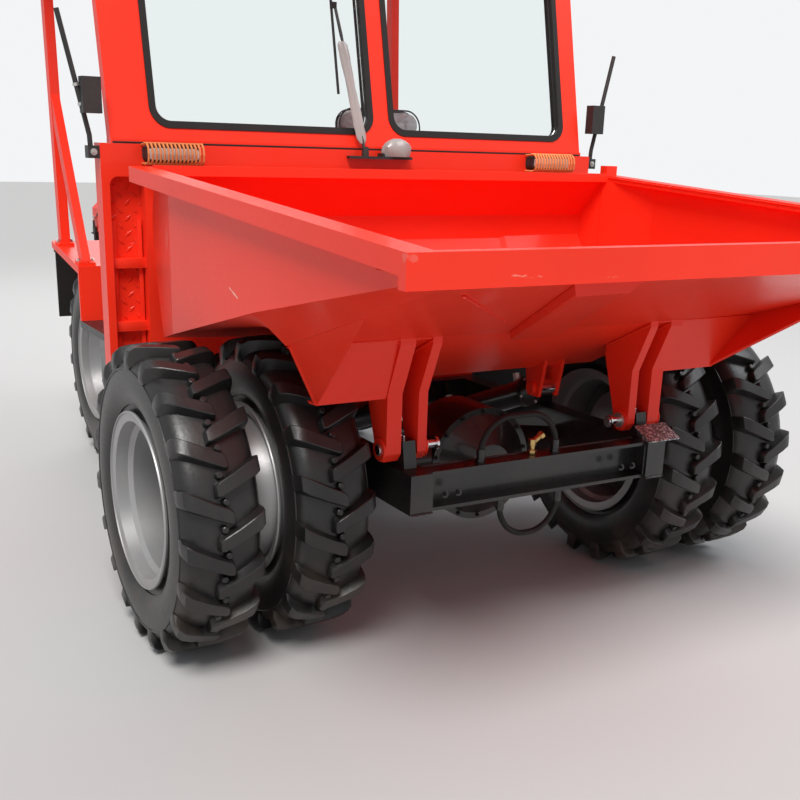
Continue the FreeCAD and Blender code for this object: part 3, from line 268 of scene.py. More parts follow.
# %% Groups: skin, scratches, dust and lozenges
skin, given, made = group("fine_skin", [("Place", "Vector", None), ("Scale", "Float", 60.0), ("Depth", "Float", 0.1)],
                          [("Normal", "Vector"), ("Value", "Float")])
noise = add(skin, "TexNoise", Vector=given.outputs["Place"], Scale=given.outputs["Scale"], Detail=3.0)
bump = add(skin, "Bump", Height=noise.outputs["Fac"], Distance=0.002, Strength=given.outputs["Depth"])
skin.links.new(bump.outputs["Normal"], made.inputs["Normal"])
skin.links.new(noise.outputs["Fac"], made.inputs["Value"])

scratch, given, made = group("scratches", [("Place", "Vector", None), ("Amount", "Float", 0.5)], [("Mask", "Float")])
stretch = add(scratch, "Mapping", Vector=given.outputs["Place"], Rotation=(0.3, 0.5, 0.8), Scale=(1.0, 14.0, 5.0))
lines = add(scratch, "TexNoise", Vector=stretch.outputs["Vector"], Scale=9.0, Detail=6.0, Roughness=0.7)
patch = add(scratch, "TexNoise", Vector=given.outputs["Place"], Scale=2.6, Detail=2.0)
thin = ramp(scratch, lines.outputs["Fac"], 0.66, 0.70)
spots = ramp(scratch, patch.outputs["Fac"], 0.50, 0.62)
both = maths(scratch, "MULTIPLY", thin, spots)
scratch.links.new(maths(scratch, "MULTIPLY", both, given.outputs["Amount"], clamp=True), made.inputs["Mask"])

dust, given, made = group("low_dust", [("Place", "Vector", None), ("Height", "Float", 0.5), ("Amount", "Float", 0.4)],
                          [("Mask", "Float")])
split = add(dust, "SeparateXYZ", Vector=given.outputs["Place"])
low = maths(dust, "SUBTRACT", 1.0, ramp(dust, split.outputs["Z"], 0.0, given.outputs["Height"]))
cloud = add(dust, "TexNoise", Vector=given.outputs["Place"], Scale=7.0, Detail=7.0, Roughness=0.65)
soft = ramp(dust, cloud.outputs["Fac"], 0.38, 0.68)
dusted = maths(dust, "MULTIPLY", maths(dust, "ADD", low, 0.18), soft)
dust.links.new(maths(dust, "MULTIPLY", dusted, given.outputs["Amount"], clamp=True), made.inputs["Mask"])

# The mark group gives a soft, ragged spot mask, used for the painted highlights on the skip.
mark, given, made = group("mark", [("Place", "Vector", None), ("Centre", "Vector", None),
                                   ("Size", "Vector", (0.1, 0.1, 0.1)), ("Turn", "Float", 0.0)], [("Mask", "Float")])
away = vector_maths(mark, "SUBTRACT", given.outputs["Place"], given.outputs["Centre"])
away = add(mark, "VectorRotate", rotation_type="X_AXIS", Vector=away, Angle=given.outputs["Turn"]).outputs["Vector"]
away = vector_maths(mark, "LENGTH", vector_maths(mark, "DIVIDE", away, given.outputs["Size"]), out="Value")
torn = add(mark, "TexNoise", Vector=given.outputs["Place"], Scale=55.0, Detail=4.0)
edge = maths(mark, "ADD", away, maths(mark, "MULTIPLY", maths(mark, "SUBTRACT", torn.outputs["Fac"], 0.5), 2.2))
mark.links.new(maths(mark, "SUBTRACT", 1.0, ramp(mark, edge, 0.80, 0.95)), made.inputs["Mask"])

lozenge, given, made = group("lozenge_plate", [("Across", "Float", 0.0), ("Along", "Float", 0.0),
                                               ("Pitch", "Float", 0.03)], [("Height", "Float")])


def lozenge_row(offset, lean):
    """Raised bars of one lean, in every other cell."""
    cell = []
    for way in ("Across", "Along"):
        cells = maths(lozenge, "DIVIDE", given.outputs[way], given.outputs["Pitch"])
        part = maths(lozenge, "FRACT", maths(lozenge, "ADD", cells, offset))
        cell.append(maths(lozenge, "SUBTRACT", part, 0.5))
    slant = maths(lozenge, "MULTIPLY", cell[1], lean)
    a = maths(lozenge, "ABSOLUTE", maths(lozenge, "ADD", cell[0], slant))
    b = maths(lozenge, "ABSOLUTE", maths(lozenge, "SUBTRACT", cell[0], slant))
    bar = maths(lozenge, "ADD", maths(lozenge, "MULTIPLY", a, 2.5), maths(lozenge, "MULTIPLY", b, 0.9))
    return maths(lozenge, "SUBTRACT", 1.0, ramp(lozenge, bar, 0.20, 0.48))


raised = maths(lozenge, "MAXIMUM", lozenge_row(0.0, 1.0), lozenge_row(0.5, -1.0))
lozenge.links.new(raised, made.inputs["Height"])
print("groups", [g.name for g in bpy.data.node_groups])

# %% [markdown]
# Each finish starts from one helper: a colour that drifts a little, a
# roughness broken by the skin, scratches that show a second colour, and dust.
# What stays the same all over is written on the shader's own sockets.

# %% A helper for painted and moulded finishes
DUST_COLOUR = (0.30, 0.215, 0.15, 1)


def finish(name, colour, rough, second=None, drift=0.12, skin_scale=90.0, skin_depth=0.10, scratches=0.5,
           dust_height=0.5, dust_amount=0.35, metallic=0.0, coat=0.0, specular=0.5, **sockets):
    """A painted, cast or moulded finish with skin, wear and dust."""
    mat = bpy.data.materials.new(name)
    mat.use_nodes = True
    tree = mat.node_tree
    shader = tree.nodes["Principled BSDF"]
    place = tree.nodes.new("ShaderNodeTexCoord").outputs["Object"]
    skin_node = effect(tree, "fine_skin", Place=place, Scale=skin_scale, Depth=skin_depth)
    wear = effect(tree, "scratches", Place=place, Amount=scratches)
    dirt = effect(tree, "low_dust", Place=place, Height=dust_height, Amount=dust_amount)
    broad = add(tree, "TexNoise", Vector=place, Scale=1.7, Detail=3.0)
    darker = tuple(c * (1 - drift) for c in colour[:3]) + (1,)
    lighter = tuple(min(1.0, c * (1 + drift) + drift * 0.01) for c in colour[:3]) + (1,)
    base = mix(tree, ramp(tree, broad.outputs["Fac"], 0.3, 0.7), darker, lighter)
    second = second or tuple(min(1.0, c * 1.4 + 0.10) for c in colour[:3]) + (1,)
    scuffed = mix(tree, wear.outputs["Mask"], base, second)
    tree.links.new(mix(tree, dirt.outputs["Mask"], scuffed, DUST_COLOUR), shader.inputs["Base Color"])
    uneven = maths(tree, "MULTIPLY", maths(tree, "SUBTRACT", skin_node.outputs["Value"], 0.5), 0.16)
    dull = maths(tree, "MULTIPLY", dirt.outputs["Mask"], 0.45)
    dull2 = maths(tree, "ADD", dull, maths(tree, "MULTIPLY", wear.outputs["Mask"], 0.2))
    rough_now = maths(tree, "ADD", maths(tree, "ADD", rough, uneven), dull2, clamp=True)
    tree.links.new(rough_now, shader.inputs["Roughness"])
    tree.links.new(skin_node.outputs["Normal"], shader.inputs["Normal"])
    sockets.update(Metallic=metallic, Coat_Weight=coat, Coat_Roughness=0.06, Specular_IOR_Level=specular)
    for key, value in sockets.items():
        shader.inputs[key.replace("_", " ")].default_value = value
    return mat


# %% The finishes
RED = (0.90, 0.034, 0.012, 1)
PINK = (0.88, 0.27, 0.20, 1)


def painted_highlights(mat, spots, colour):
    """Painted highlights at fixed places of the object, lighter spots where light catches the paint; each is a centre,
    a half size and a turn about X.
    """
    tree = mat.node_tree
    shader = tree.nodes["Principled BSDF"]
    place = tree.nodes["Texture Coordinate"].outputs["Object"]
    for centre, size, turn in spots:
        spot = effect(tree, "mark", Place=place, Centre=centre, Size=size, Turn=turn)
        under = shader.inputs["Base Color"].links[0].from_socket
        tree.links.new(mix(tree, spot.outputs["Mask"], under, colour), shader.inputs["Base Color"])
    return mat


def chequered(mat, across, along, pitch, inside=None):
    """Raised lozenges as bump; across and along are axes, inside a list of (axis, low, high)."""
    tree = mat.node_tree
    shader = tree.nodes["Principled BSDF"]
    split = add(tree, "SeparateXYZ", Vector=tree.nodes["Texture Coordinate"].outputs["Object"])
    plate = effect(tree, "lozenge_plate", Across=split.outputs[across], Along=split.outputs[along], Pitch=pitch)
    height = plate.outputs["Height"]
    for axis, low, high in inside or []:
        value = maths(tree, "ABSOLUTE", split.outputs[axis]) if axis == "X" else split.outputs[axis]
        within = maths(tree, "MULTIPLY", maths(tree, "GREATER_THAN", value, low), maths(tree, "LESS_THAN", value, high))
        height = maths(tree, "MULTIPLY", height, within)
    under = shader.inputs["Normal"].links[0].from_socket
    bump = add(tree, "Bump", Height=height, Distance=0.0022, Strength=1.0, Normal=under)
    tree.links.new(bump.outputs["Normal"], shader.inputs["Normal"])
    return mat


red = finish("red_enamel", RED, 0.36, second=PINK, drift=0.05, skin_depth=0.05, coat=0.08, specular=0.28,
             dust_amount=0.08)
# Painted highlights on the skip: lighter red spots near the rear of the near side wall and at the lip's front corner.
skip_red = painted_highlights(finish("skip_enamel", RED, 0.35, second=PINK, drift=0.05, skin_depth=0.05, coat=0.08,
                         specular=0.28, scratches=0.7, dust_amount=0.10),
                  (((-0.822, -0.511, 1.035), (0.02, 0.018, 0.030), 0.0),
                   ((-0.822, -0.490, 1.012), (0.02, 0.010, 0.018), 0.0),
                   ((-0.835, -1.795, 1.112), (0.020, 0.010, 0.008), 0.0)), (0.88, 0.10, 0.07, 1))
# Painted highlight: a thin pale pink streak along the lower edge of the near side wall.
painted_highlights(skip_red, (((-0.822, -0.996, 0.9535), (0.02, 0.034, 0.0030), -0.34),), (0.92, 0.45, 0.34, 1))
wall_red = chequered(finish("wall_enamel", RED, 0.32, second=PINK, drift=0.05, skin_depth=0.05, coat=0.12,
                            specular=0.30, dust_amount=0.12), "X", "Z", 0.044,
                     inside=[("X", 0.752, 0.852), ("Y", -0.128, -0.0985), ("Z", 0.60, 1.172)])
black = finish("black_enamel", (0.010, 0.010, 0.011, 1), 0.30, second=(0.10, 0.095, 0.09, 1), coat=0.3,
               dust_amount=0.22)
deck_black = chequered(finish("deck_enamel", (0.012, 0.012, 0.013, 1), 0.38, second=(0.12, 0.115, 0.11, 1),
                              scratches=0.9, dust_amount=0.30), "X", "Y", 0.036, inside=[("Z", 0.6395, 0.641)])
silver = finish("silver_wheel_paint", (0.36, 0.36, 0.365, 1), 0.42, metallic=0.45, dust_amount=0.25, skin_depth=0.05)
zinc = finish("zinc_plate", (0.60, 0.60, 0.58, 1), 0.36, metallic=0.9, drift=0.2, skin_scale=200, scratches=0.9)
chrome = finish("hard_chrome", (0.80, 0.80, 0.82, 1), 0.12, metallic=1.0, drift=0.03, scratches=0.2, dust_amount=0.05)
iron = finish("engine_iron", (0.10, 0.11, 0.12, 1), 0.6, skin_depth=0.4, skin_scale=140)
tyre_rubber = finish("tyre_rubber", (0.0075, 0.0075, 0.008, 1), 0.36, drift=0.25, skin_scale=120, skin_depth=0.18,
                     scratches=0.06, dust_height=0.5, dust_amount=0.12, specular=0.55)
seal_rubber = finish("seal_rubber", (0.011, 0.010, 0.010, 1), 0.60, skin_scale=260, skin_depth=0.2, dust_amount=0.06,
                     specular=0.3)
plastic = finish("grained_plastic", (0.016, 0.016, 0.017, 1), 0.5, skin_scale=420, skin_depth=0.45, scratches=0.2)
vinyl = finish("grey_vinyl", (0.40, 0.39, 0.40, 1), 0.48, skin_scale=330, skin_depth=0.5, scratches=0.15,
               dust_amount=0.15)
amber = finish("amber_plastic", (0.80, 0.27, 0.09, 1), 0.30, drift=0.2, dust_amount=0.05)
brass = finish("brass_fitting", (0.62, 0.42, 0.17, 1), 0.30, metallic=1.0, skin_scale=200)
speckled = finish("speckled_steel", (0.13, 0.14, 0.15, 1), 0.38, skin_scale=380, skin_depth=0.6, scratches=1.0,
                  metallic=0.6, dust_amount=0.1)
plate_tree = speckled.node_tree
plate_colour = plate_tree.nodes["Principled BSDF"].inputs["Base Color"]
flecks = add(plate_tree, "TexNoise", Vector=plate_tree.nodes["Texture Coordinate"].outputs["Object"], Scale=150.0,
             Detail=3.0)
plate_tree.links.new(mix(plate_tree, ramp(plate_tree, flecks.outputs["Fac"], 0.50, 0.58),
                         plate_colour.links[0].from_socket, (0.62, 0.64, 0.66, 1)), plate_colour)
cloudy = finish("cloudy_film", (0.48, 0.47, 0.45, 1), 0.32, drift=0.2, scratches=0.2, dust_amount=0.1, coat=0.3,
                Transmission_Weight=0.35)
lens_clear = finish("lamp_lens", (0.72, 0.72, 0.69, 1), 0.12, drift=0.05, scratches=0.1, dust_amount=0.05, coat=0.8)
lens_red = finish("rear_lens", (0.55, 0.012, 0.010, 1), 0.15, drift=0.05, coat=0.8)


def window_glass():
    mat = bpy.data.materials.new("clear_glass")
    mat.use_nodes = True
    tree = mat.node_tree
    shader = tree.nodes["Principled BSDF"]
    place = tree.nodes.new("ShaderNodeTexCoord").outputs["Object"]
    smear = add(tree, "TexNoise", Vector=place, Scale=3.0, Detail=5.0)
    streaks = ramp(tree, smear.outputs["Fac"], 0.45, 0.75)
    tree.links.new(maths(tree, "MULTIPLY", streaks, 0.10), shader.inputs["Roughness"])
    for key, value in (("Base Color", (0.90, 0.95, 0.94, 1)), ("IOR", 1.1), ("Transmission Weight", 1.0),
                       ("Specular IOR Level", 0.6)):
        shader.inputs[key].default_value = value
    return mat


glass = window_glass()
SLOT_FINISH = {
    "red_paint": red, "black_paint": black, "silver_paint": silver, "bare_steel": zinc, "chrome_rod": chrome,
    "engine_iron": iron, "tyre_black": tyre_rubber, "seal_rubber": seal_rubber, "clear_glass": glass,
    "black_plastic": plastic, "grey_vinyl": vinyl, "amber_plastic": amber, "lamp_lens": lens_clear,
    "red_lens": lens_red,
}
NODE_FINISH = {"skip_shell": skip_red, "skip_rim": skip_red, "front_wall": wall_red, "platform_floor": deck_black,
               "blank_plate": speckled}
for entry in frame["record"]["subparts"]:
    thing = frame["nodes"][entry["node"]]
    thing.data.materials.clear()
    thing.data.materials.append(NODE_FINISH.get(entry["node"], SLOT_FINISH[entry["material_slot"]]))
print("finished nodes", len(frame["nodes"]))

# %% [markdown]
# Every new piece ends the same way: doubles merged, faces turned outwards,
# smooth shading broken at sharp edges, a finish, and a body to ride on.

# %% Helpers that close a piece


def piece(name, bm, mat, body="chassis", sharp=35.0, bevel=0.0, merge=WELD):
    """Turn a bmesh into a finished object on its body."""
    if merge:
        bmesh.ops.remove_doubles(bm, verts=bm.verts, dist=merge)
    if bevel:
        soften(bm, hard_edges(bm, 30), bevel)
    bmesh.ops.recalc_face_normals(bm, faces=bm.faces)
    for f in bm.faces:
        f.smooth = True
    for e in bm.edges:
        e.smooth = e.is_manifold and e.calc_face_angle(0.0) < math.radians(sharp)
    thing = placed(name, as_mesh(name, bm))
    thing.data.materials.append(mat)
    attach(thing, body)
    return thing


def fittings(name, bm, mat, body="chassis", sharp=40):
    """A piece of many small shapes that may touch, so nothing is merged."""
    return piece(name, bm, mat, body, sharp=sharp, merge=0)


def spun(bm, profile, centre, steps=72, closed=True):
    """Profile of (along X, radius) points, spun about the X axis through centre."""
    verts = [bm.verts.new((centre[0] + a, centre[1], centre[2] + r)) for a, r in profile]
    pairs = list(zip(verts, verts[1:])) + ([(verts[-1], verts[0])] if closed else [])
    edges = [bm.edges.new(pair) for pair in pairs]
    bmesh.ops.spin(bm, geom=verts + edges, cent=centre, axis=(1, 0, 0), angle=math.tau, steps=steps,
                   use_merge=True, use_duplicate=False)
    return bm


def block(bm, low, high):
    """A box between two corners."""
    made_now = bmesh.ops.create_cube(bm, size=1.0)["verts"]
    for v in made_now:
        for i in range(3):
            v.co[i] = (low[i] + high[i]) / 2 + v.co[i] * (high[i] - low[i])
    return made_now


def rod(bm, start, end, r, sides=16, r2=None):
    """A round bar or cone between two points."""
    start, end = Vector(start), Vector(end)
    turn = (end - start).to_track_quat("Z", "Y").to_matrix().to_4x4()
    place = Matrix.Translation((start + end) / 2) @ turn
    return bmesh.ops.create_cone(bm, cap_ends=True, cap_tris=False, segments=sides, radius1=r,
                                 radius2=r if r2 is None else r2, depth=(end - start).length, matrix=place)["verts"]


def rods(bm, *rows):
    """Several rods; each row is start, end, radius, sides and, where it tapers, the other radius."""
    for row in rows:
        rod(bm, *row)


# %% [markdown]
# A bar-tread tyre is a smooth carcass with bars that start past the middle and
# run up and out over the shoulder, each side half a pitch behind the other. The
# carcass is one closed outline, spun. One bar is extruded along five stations,
# and copies of that pitch are turned round the wheel.

# %% Tyres
TYRE_R = 0.398
BARS = 19
MIDDLE_Y = 0.709
FRONT_Y, REAR_Y = -MIDDLE_Y, 1.8 - MIDDLE_Y
HALF_CARCASS = ((0.0, 0.3745), (0.030, 0.3735), (0.062, 0.3700), (0.083, 0.3620), (0.093, 0.3490), (0.0975, 0.3400),
                (0.1005, 0.3395), (0.1010, 0.3365), (0.0990, 0.3350), (0.1015, 0.3180), (0.1030, 0.2950),
                (0.1000, 0.2720), (0.0930, 0.2540), (0.0870, 0.2450), (0.0830, 0.2440), (0.0800, 0.2320),
                (0.0770, 0.2250), (0.0740, 0.2150), (0.0600, 0.2120))
# columns: across, along the tread, top radius, half width at the top, half width at the root
BAR = ((-0.018, -0.005, 0.3960, 0.0120, 0.0175), (-0.008, 0.000, 0.3980, 0.0165, 0.0220),
       (0.028, 0.016, 0.3980, 0.0175, 0.0235), (0.062, 0.033, 0.3975, 0.0190, 0.0250),
       (0.084, 0.044, 0.3945, 0.0200, 0.0265), (0.0965, 0.052, 0.3850, 0.0200, 0.0265),
       (0.1025, 0.056, 0.3640, 0.0170, 0.0245), (0.1020, 0.060, 0.3420, 0.0100, 0.0170))
ROOT_R = (0.3735, 0.3735, 0.3725, 0.3690, 0.3600, 0.3470, 0.3400, 0.3330)


def on_drum(across, along, radius, side, turn):
    """A place on the tread, from unrolled distances; turn is in radians, up at the front."""
    a = along / TYRE_R + turn
    return Vector((side * across, -radius * math.cos(a), radius * math.sin(a)))


def tread_bar(bm, side, turn):
    """One bar, extruded from the middle out to the shoulder."""
    ring = None
    for index, ((across, along, top, half, root), inner) in enumerate(zip(BAR, ROOT_R)):
        lean = 0.45 * half
        corners = [on_drum(across - lean * 0.4, along - root, inner, side, turn),
                   on_drum(across - lean * 0.4, along + root, inner, side, turn),
                   on_drum(across, along + half, top, side, turn), on_drum(across, along - half, top, side, turn)]
        if ring is None:
            ring = bm.faces.new([bm.verts.new(c) for c in corners])
            continue
        out = bmesh.ops.extrude_face_region(bm, geom=[ring])["geom"]
        grown = [g for g in out if isinstance(g, bmesh.types.BMFace)][0]
        if index > 1:
            bmesh.ops.delete(bm, geom=[ring], context="FACES_ONLY")
        for v, c in zip(grown.verts, corners):
            v.co = c
        ring = grown


def one_pitch():
    """Bars of both sides and the centre nubs of one pitch."""
    bm = bmesh.new()
    pitch = math.tau / BARS
    for side, shift in ((1, 0.0), (-1, 0.5)):
        tread_bar(bm, side, shift * pitch)
        mid = on_drum(-0.004, 0.034, 0.3845, side, shift * pitch)
        up = Vector((0, mid.y, mid.z)).normalized()
        rod(bm, mid - up * 0.012, mid + up * 0.006, 0.0105, 10, 0.0085)
    soften(bm, hard_edges(bm, 40), 0.0018, 1)
    return as_mesh("tread_pitch", bm)


PITCH = one_pitch()


def tyre(name, x, y, body):
    bm = bmesh.new()
    mirrored = tuple((-a, r) for a, r in reversed(HALF_CARCASS) if a > 0)
    spun(bm, HALF_CARCASS + mirrored, (0, 0, 0), steps=96)
    for i in range(BARS):
        first = len(bm.verts)
        bm.from_mesh(PITCH)
        bm.verts.ensure_lookup_table()
        bmesh.ops.rotate(bm, verts=bm.verts[first:], cent=(0, 0, 0),
                         matrix=Matrix.Rotation(-i * math.tau / BARS, 3, "X"))
    bmesh.ops.translate(bm, verts=bm.verts, vec=(x, y, TYRE_R))
    return piece(name, bm, tyre_rubber, body, sharp=32, merge=0)


OUTER_X, INNER_X, REAR_X = 0.884, 0.591, 0.520
SIDES = ((1, "left"), (-1, "right"))
for side, word in SIDES:
    fronts = [tyre("front_tyre_%s_%s" % (place, word), side * x, FRONT_Y, "front_wheels_" + word)
              for place, x in (("outer", OUTER_X), ("inner", INNER_X))]
    for thing in fronts:
        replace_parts(thing, "front_tyres_" + word)
    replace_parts(tyre("rear_tyre_" + word, side * REAR_X, REAR_Y, "rear_wheel_" + word), "rear_tyre_" + word)
print("tyre triangles", sum(len(p.vertices) - 2 for p in fronts[0].data.polygons))

# %% [markdown]
# The wheels are pressed rims. A rim's outline has rolled flanges, bead seats
# and a well, so one closed outline with its own wall is spun. The disc is dished
# away from the tyre's middle and is bolted to the hub.

# %% Wheels
RIM_OUTER = ((-0.0985, 0.2290), (-0.0950, 0.2305), (-0.0900, 0.2290), (-0.0880, 0.2150), (-0.0860, 0.2095),
             (-0.0560, 0.2065), (-0.0440, 0.1960), (0.0440, 0.1960), (0.0560, 0.2065), (0.0860, 0.2095),
             (0.0880, 0.2150), (0.0900, 0.2290), (0.0950, 0.2305), (0.0985, 0.2290))
RIM_INNER = ((0.0985, 0.2265), (0.0950, 0.2260), (0.0935, 0.2130), (0.0910, 0.2040), (0.0590, 0.2010),
             (0.0470, 0.1905), (-0.0470, 0.1905), (-0.0590, 0.2010), (-0.0910, 0.2040), (-0.0935, 0.2130),
             (-0.0950, 0.2260), (-0.0985, 0.2265))


def rim_and_disc(bm, centre, edge, flat, hole):
    """Rim with its dished disc; edge and flat are the disc's places along the axle, hole its radius."""
    spun(bm, RIM_OUTER + RIM_INNER, centre, steps=96)
    wall = math.copysign(0.008, edge - flat)
    reach = edge - flat
    face = ((edge, 0.1985), (flat + 0.75 * reach, 0.1950), (flat + 0.16 * reach, 0.1760), (flat, 0.1660), (flat, hole))
    back = ((flat + wall, hole), (flat + wall, 0.1640), (flat + 0.16 * reach + wall, 0.1720),
            (flat + 0.75 * reach + wall, 0.1895), (edge + wall * 0.5, 0.1930))
    spun(bm, face + back, centre, steps=96)


def nuts(bm, x, centre, count, circle, sign, start=0.5):
    """A circle of wheel nuts with their studs and washers."""
    for i in range(count):
        a = math.tau * (i + start) / count
        y, z = centre[1] + circle * math.cos(a), centre[2] + circle * math.sin(a)
        for near, far, r, sides in ((0.0, 0.004, 0.0170, 20), (0.003, 0.020, 0.0140, 6), (0.018, 0.030, 0.0085, 12)):
            rod(bm, (x + sign * near, y, z), (x + sign * far, y, z), r, sides)


# hub outlines, columns: out from the mating face, radius
FRONT_HUB = ((-0.120, 0.032), (-0.120, 0.146), (-0.114, 0.150), (-0.016, 0.150), (-0.010, 0.146), (-0.010, 0.076),
             (0.050, 0.072), (0.054, 0.066), (0.076, 0.064), (0.086, 0.058), (0.090, 0.050), (0.090, 0.001),
             (0.040, 0.001), (0.040, 0.032))
REAR_HUB = ((-0.050, 0.032), (-0.050, 0.091), (-0.046, 0.095), (-0.009, 0.095), (-0.009, 0.060), (0.040, 0.054),
            (0.044, 0.046), (0.058, 0.044), (0.062, 0.038), (0.062, 0.001), (0.026, 0.001), (0.026, 0.032))
MATE_X = (OUTER_X + INNER_X) / 2
for s, word in SIDES:
    bm = bmesh.new()
    rim_and_disc(bm, (OUTER_X * s, FRONT_Y, TYRE_R), -0.060 * s, -0.1463 * s, 0.070)
    rim_and_disc(bm, (INNER_X * s, FRONT_Y, TYRE_R), 0.060 * s, 0.1463 * s, 0.070)
    spun(bm, [(a * s, r) for a, r in FRONT_HUB], (MATE_X * s, FRONT_Y, TYRE_R), steps=64)
    pair = piece("front_rims_%s_made" % word, bm, silver, "front_wheels_" + word, sharp=30)
    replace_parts(pair, "front_rims_" + word)
    bm = bmesh.new()
    nuts(bm, (MATE_X + 0.008) * s, (0, FRONT_Y, TYRE_R), 8, 0.110, s)
    rod(bm, ((OUTER_X - 0.02) * s, FRONT_Y, TYRE_R + 0.192), ((OUTER_X + 0.03) * s, FRONT_Y, TYRE_R + 0.178), 0.004, 10)
    piece("front_wheel_nuts_" + word, bm, zinc, "front_wheels_" + word)
    bm = bmesh.new()
    rim_and_disc(bm, (REAR_X * s, REAR_Y, TYRE_R), 0.060 * s, -0.020 * s, 0.060)
    spun(bm, [(a * s, r) for a, r in REAR_HUB], ((REAR_X - 0.020) * s, REAR_Y, TYRE_R), steps=64)
    single = piece("rear_rim_%s_made" % word, bm, silver, "rear_wheel_" + word, sharp=30)
    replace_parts(single, "rear_rim_" + word)
    bm = bmesh.new()
    nuts(bm, (REAR_X - 0.012) * s, (0, REAR_Y, TYRE_R), 6, 0.084, s, start=0.0)
    rod(bm, ((REAR_X + 0.02) * s, REAR_Y, TYRE_R + 0.192), ((REAR_X + 0.07) * s, REAR_Y, TYRE_R + 0.180), 0.004, 10)
    piece("rear_wheel_nuts_" + word, bm, zinc, "rear_wheel_" + word)
print("wheels done, hub face at", round(MATE_X, 4))

# %% [markdown]
# The seat is two sewn vinyl pads on a pressed box. Each pad starts as a
# rounded block, a little small, is swelled with cloth pressure, and then gets
# its sewn channels and a piped edge. The swelling is capped, so the pad stays in
# the room that its solid holds.

# %% Seat pads
SEAT_X = 0.495
PAD_CAP = 0.014
BACK_PLACE, BACK_LEAN = (SEAT_X, 0.718, 1.238), math.radians(82.0)


def pad_blank(half, bevel, corner):
    """A rounded block on an even grid of faces, as an object."""
    bm = bmesh.new()
    block(bm, (-half[0], -half[1], -half[2]), half)
    upright = [e for e in bm.edges if abs(e.verts[0].co.z - e.verts[1].co.z) > half[2]]
    soften(bm, upright, corner, 8)
    flat = [e for e in bm.edges if abs(e.verts[0].co.z - e.verts[1].co.z) < 1e-6]
    soften(bm, flat, bevel, 4, 0.6)
    blank = placed("pad_blank", as_mesh("pad_blank", bm))
    remesh = blank.modifiers.new("voxels", "REMESH")
    remesh.mode = "VOXEL"
    remesh.voxel_size = 0.006
    return blank


def evaluated(thing):
    graph = bpy.context.evaluated_depsgraph_get()
    return bpy.data.meshes.new_from_object(thing.evaluated_get(graph), depsgraph=graph)


def swell(half, bevel, corner):
    """Points and faces of a pad, swelled by cloth pressure and capped."""
    blank = pad_blank(half, bevel, corner)
    start = evaluated(blank)
    bpy.data.objects.remove(blank)
    soft = placed("pad_soft", start)
    before = [v.co.copy() for v in start.vertices]
    after = before
    hold = soft.vertex_groups.new(name="hold")
    hold.add([v.index for v in start.vertices if v.co.z < -half[2] + 0.004], 1.0, "REPLACE")
    cloth = soft.modifiers.new("cloth", "CLOTH")
    cloth.settings.use_pressure = True
    cloth.settings.uniform_pressure_force = 4.0
    cloth.settings.effector_weights.gravity = 0.0
    cloth.settings.vertex_group_mass = "hold"
    for frame_number in range(1, 21):
        scene.frame_set(frame_number)
    after = [v.co.copy() for v in evaluated(soft).vertices]
    scene.frame_set(1)
    points = []
    for a, b in zip(before, after):
        move = b - a
        points.append(a + move * min(1.0, PAD_CAP / max(move.length, 1e-9)))
    faces = [list(p.vertices) for p in start.polygons]
    bpy.data.objects.remove(soft)
    return points, faces


def sewn_pad(name, half, bevel, corner, channels, cross, place, lean):
    """A pad with sewn channels along its length and across it, turned by lean about X and set in place."""
    points, faces = swell(half, bevel, corner)
    turn = Matrix.Rotation(lean, 4, "X")
    bm = bmesh.new()
    for p in points:
        inside = max(0.0, 1 - (abs(p.y) / (half[1] * 0.93)) ** 6) * max(0.0, 1 - (abs(p.x) / (half[0] * 0.93)) ** 6)
        if p.z > 0:
            crown = 0.010 * (1 - min(1.0, abs(p.x) / half[0]) ** 2) * (1 - min(1.0, abs(p.y) / half[1]) ** 2)
            groove = sum(math.exp(-((p.x - x) / 0.0055) ** 2) for x in channels if abs(p.y) < cross)
            groove += sum(math.exp(-((p.y - y) / 0.0055) ** 2) for y in (-cross, cross))
            p.z += crown * inside - 0.0085 * min(1.0, groove) * inside * min(1.0, p.z / (half[2] * 0.6))
        bm.verts.new(Matrix.Translation(place) @ turn @ p)
    bm.verts.ensure_lookup_table()
    for f in faces:
        bm.faces.new([bm.verts[i] for i in f])
    pad = fittings(name, bm, vinyl, sharp=180)
    smooth = pad.modifiers.new("smooth", "SUBSURF")
    smooth.levels = smooth.render_levels = 1
    bm = bmesh.new()
    for lift in (-0.66, 0.66):
        ring = [Matrix.Translation(place) @ turn @ Vector((x, y, half[2] * lift))
                for x, y in rounded((0, 0), (half[0] - corner, half[1] - corner), corner, 9)]
        for a, b in zip(ring, ring[1:] + ring[:1]):
            rod(bm, a, b + (b - a).normalized() * 0.001, 0.0032, 8)
    fittings(name + "_piping", bm, plastic, sharp=60)
    return pad


CUSHION = sewn_pad("seat_cushion_pad", (0.186, 0.178, 0.036), 0.022, 0.045, (-0.100, 0.0, 0.100), 0.125,
                   (SEAT_X, 0.492, 1.008), 0.0)
BACK = sewn_pad("seat_back_pad", (0.184, 0.180, 0.026), 0.020, 0.060, (-0.098, 0.0, 0.098), 0.130,
                BACK_PLACE, BACK_LEAN)
for thing in (CUSHION, BACK):
    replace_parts(thing, "seat")

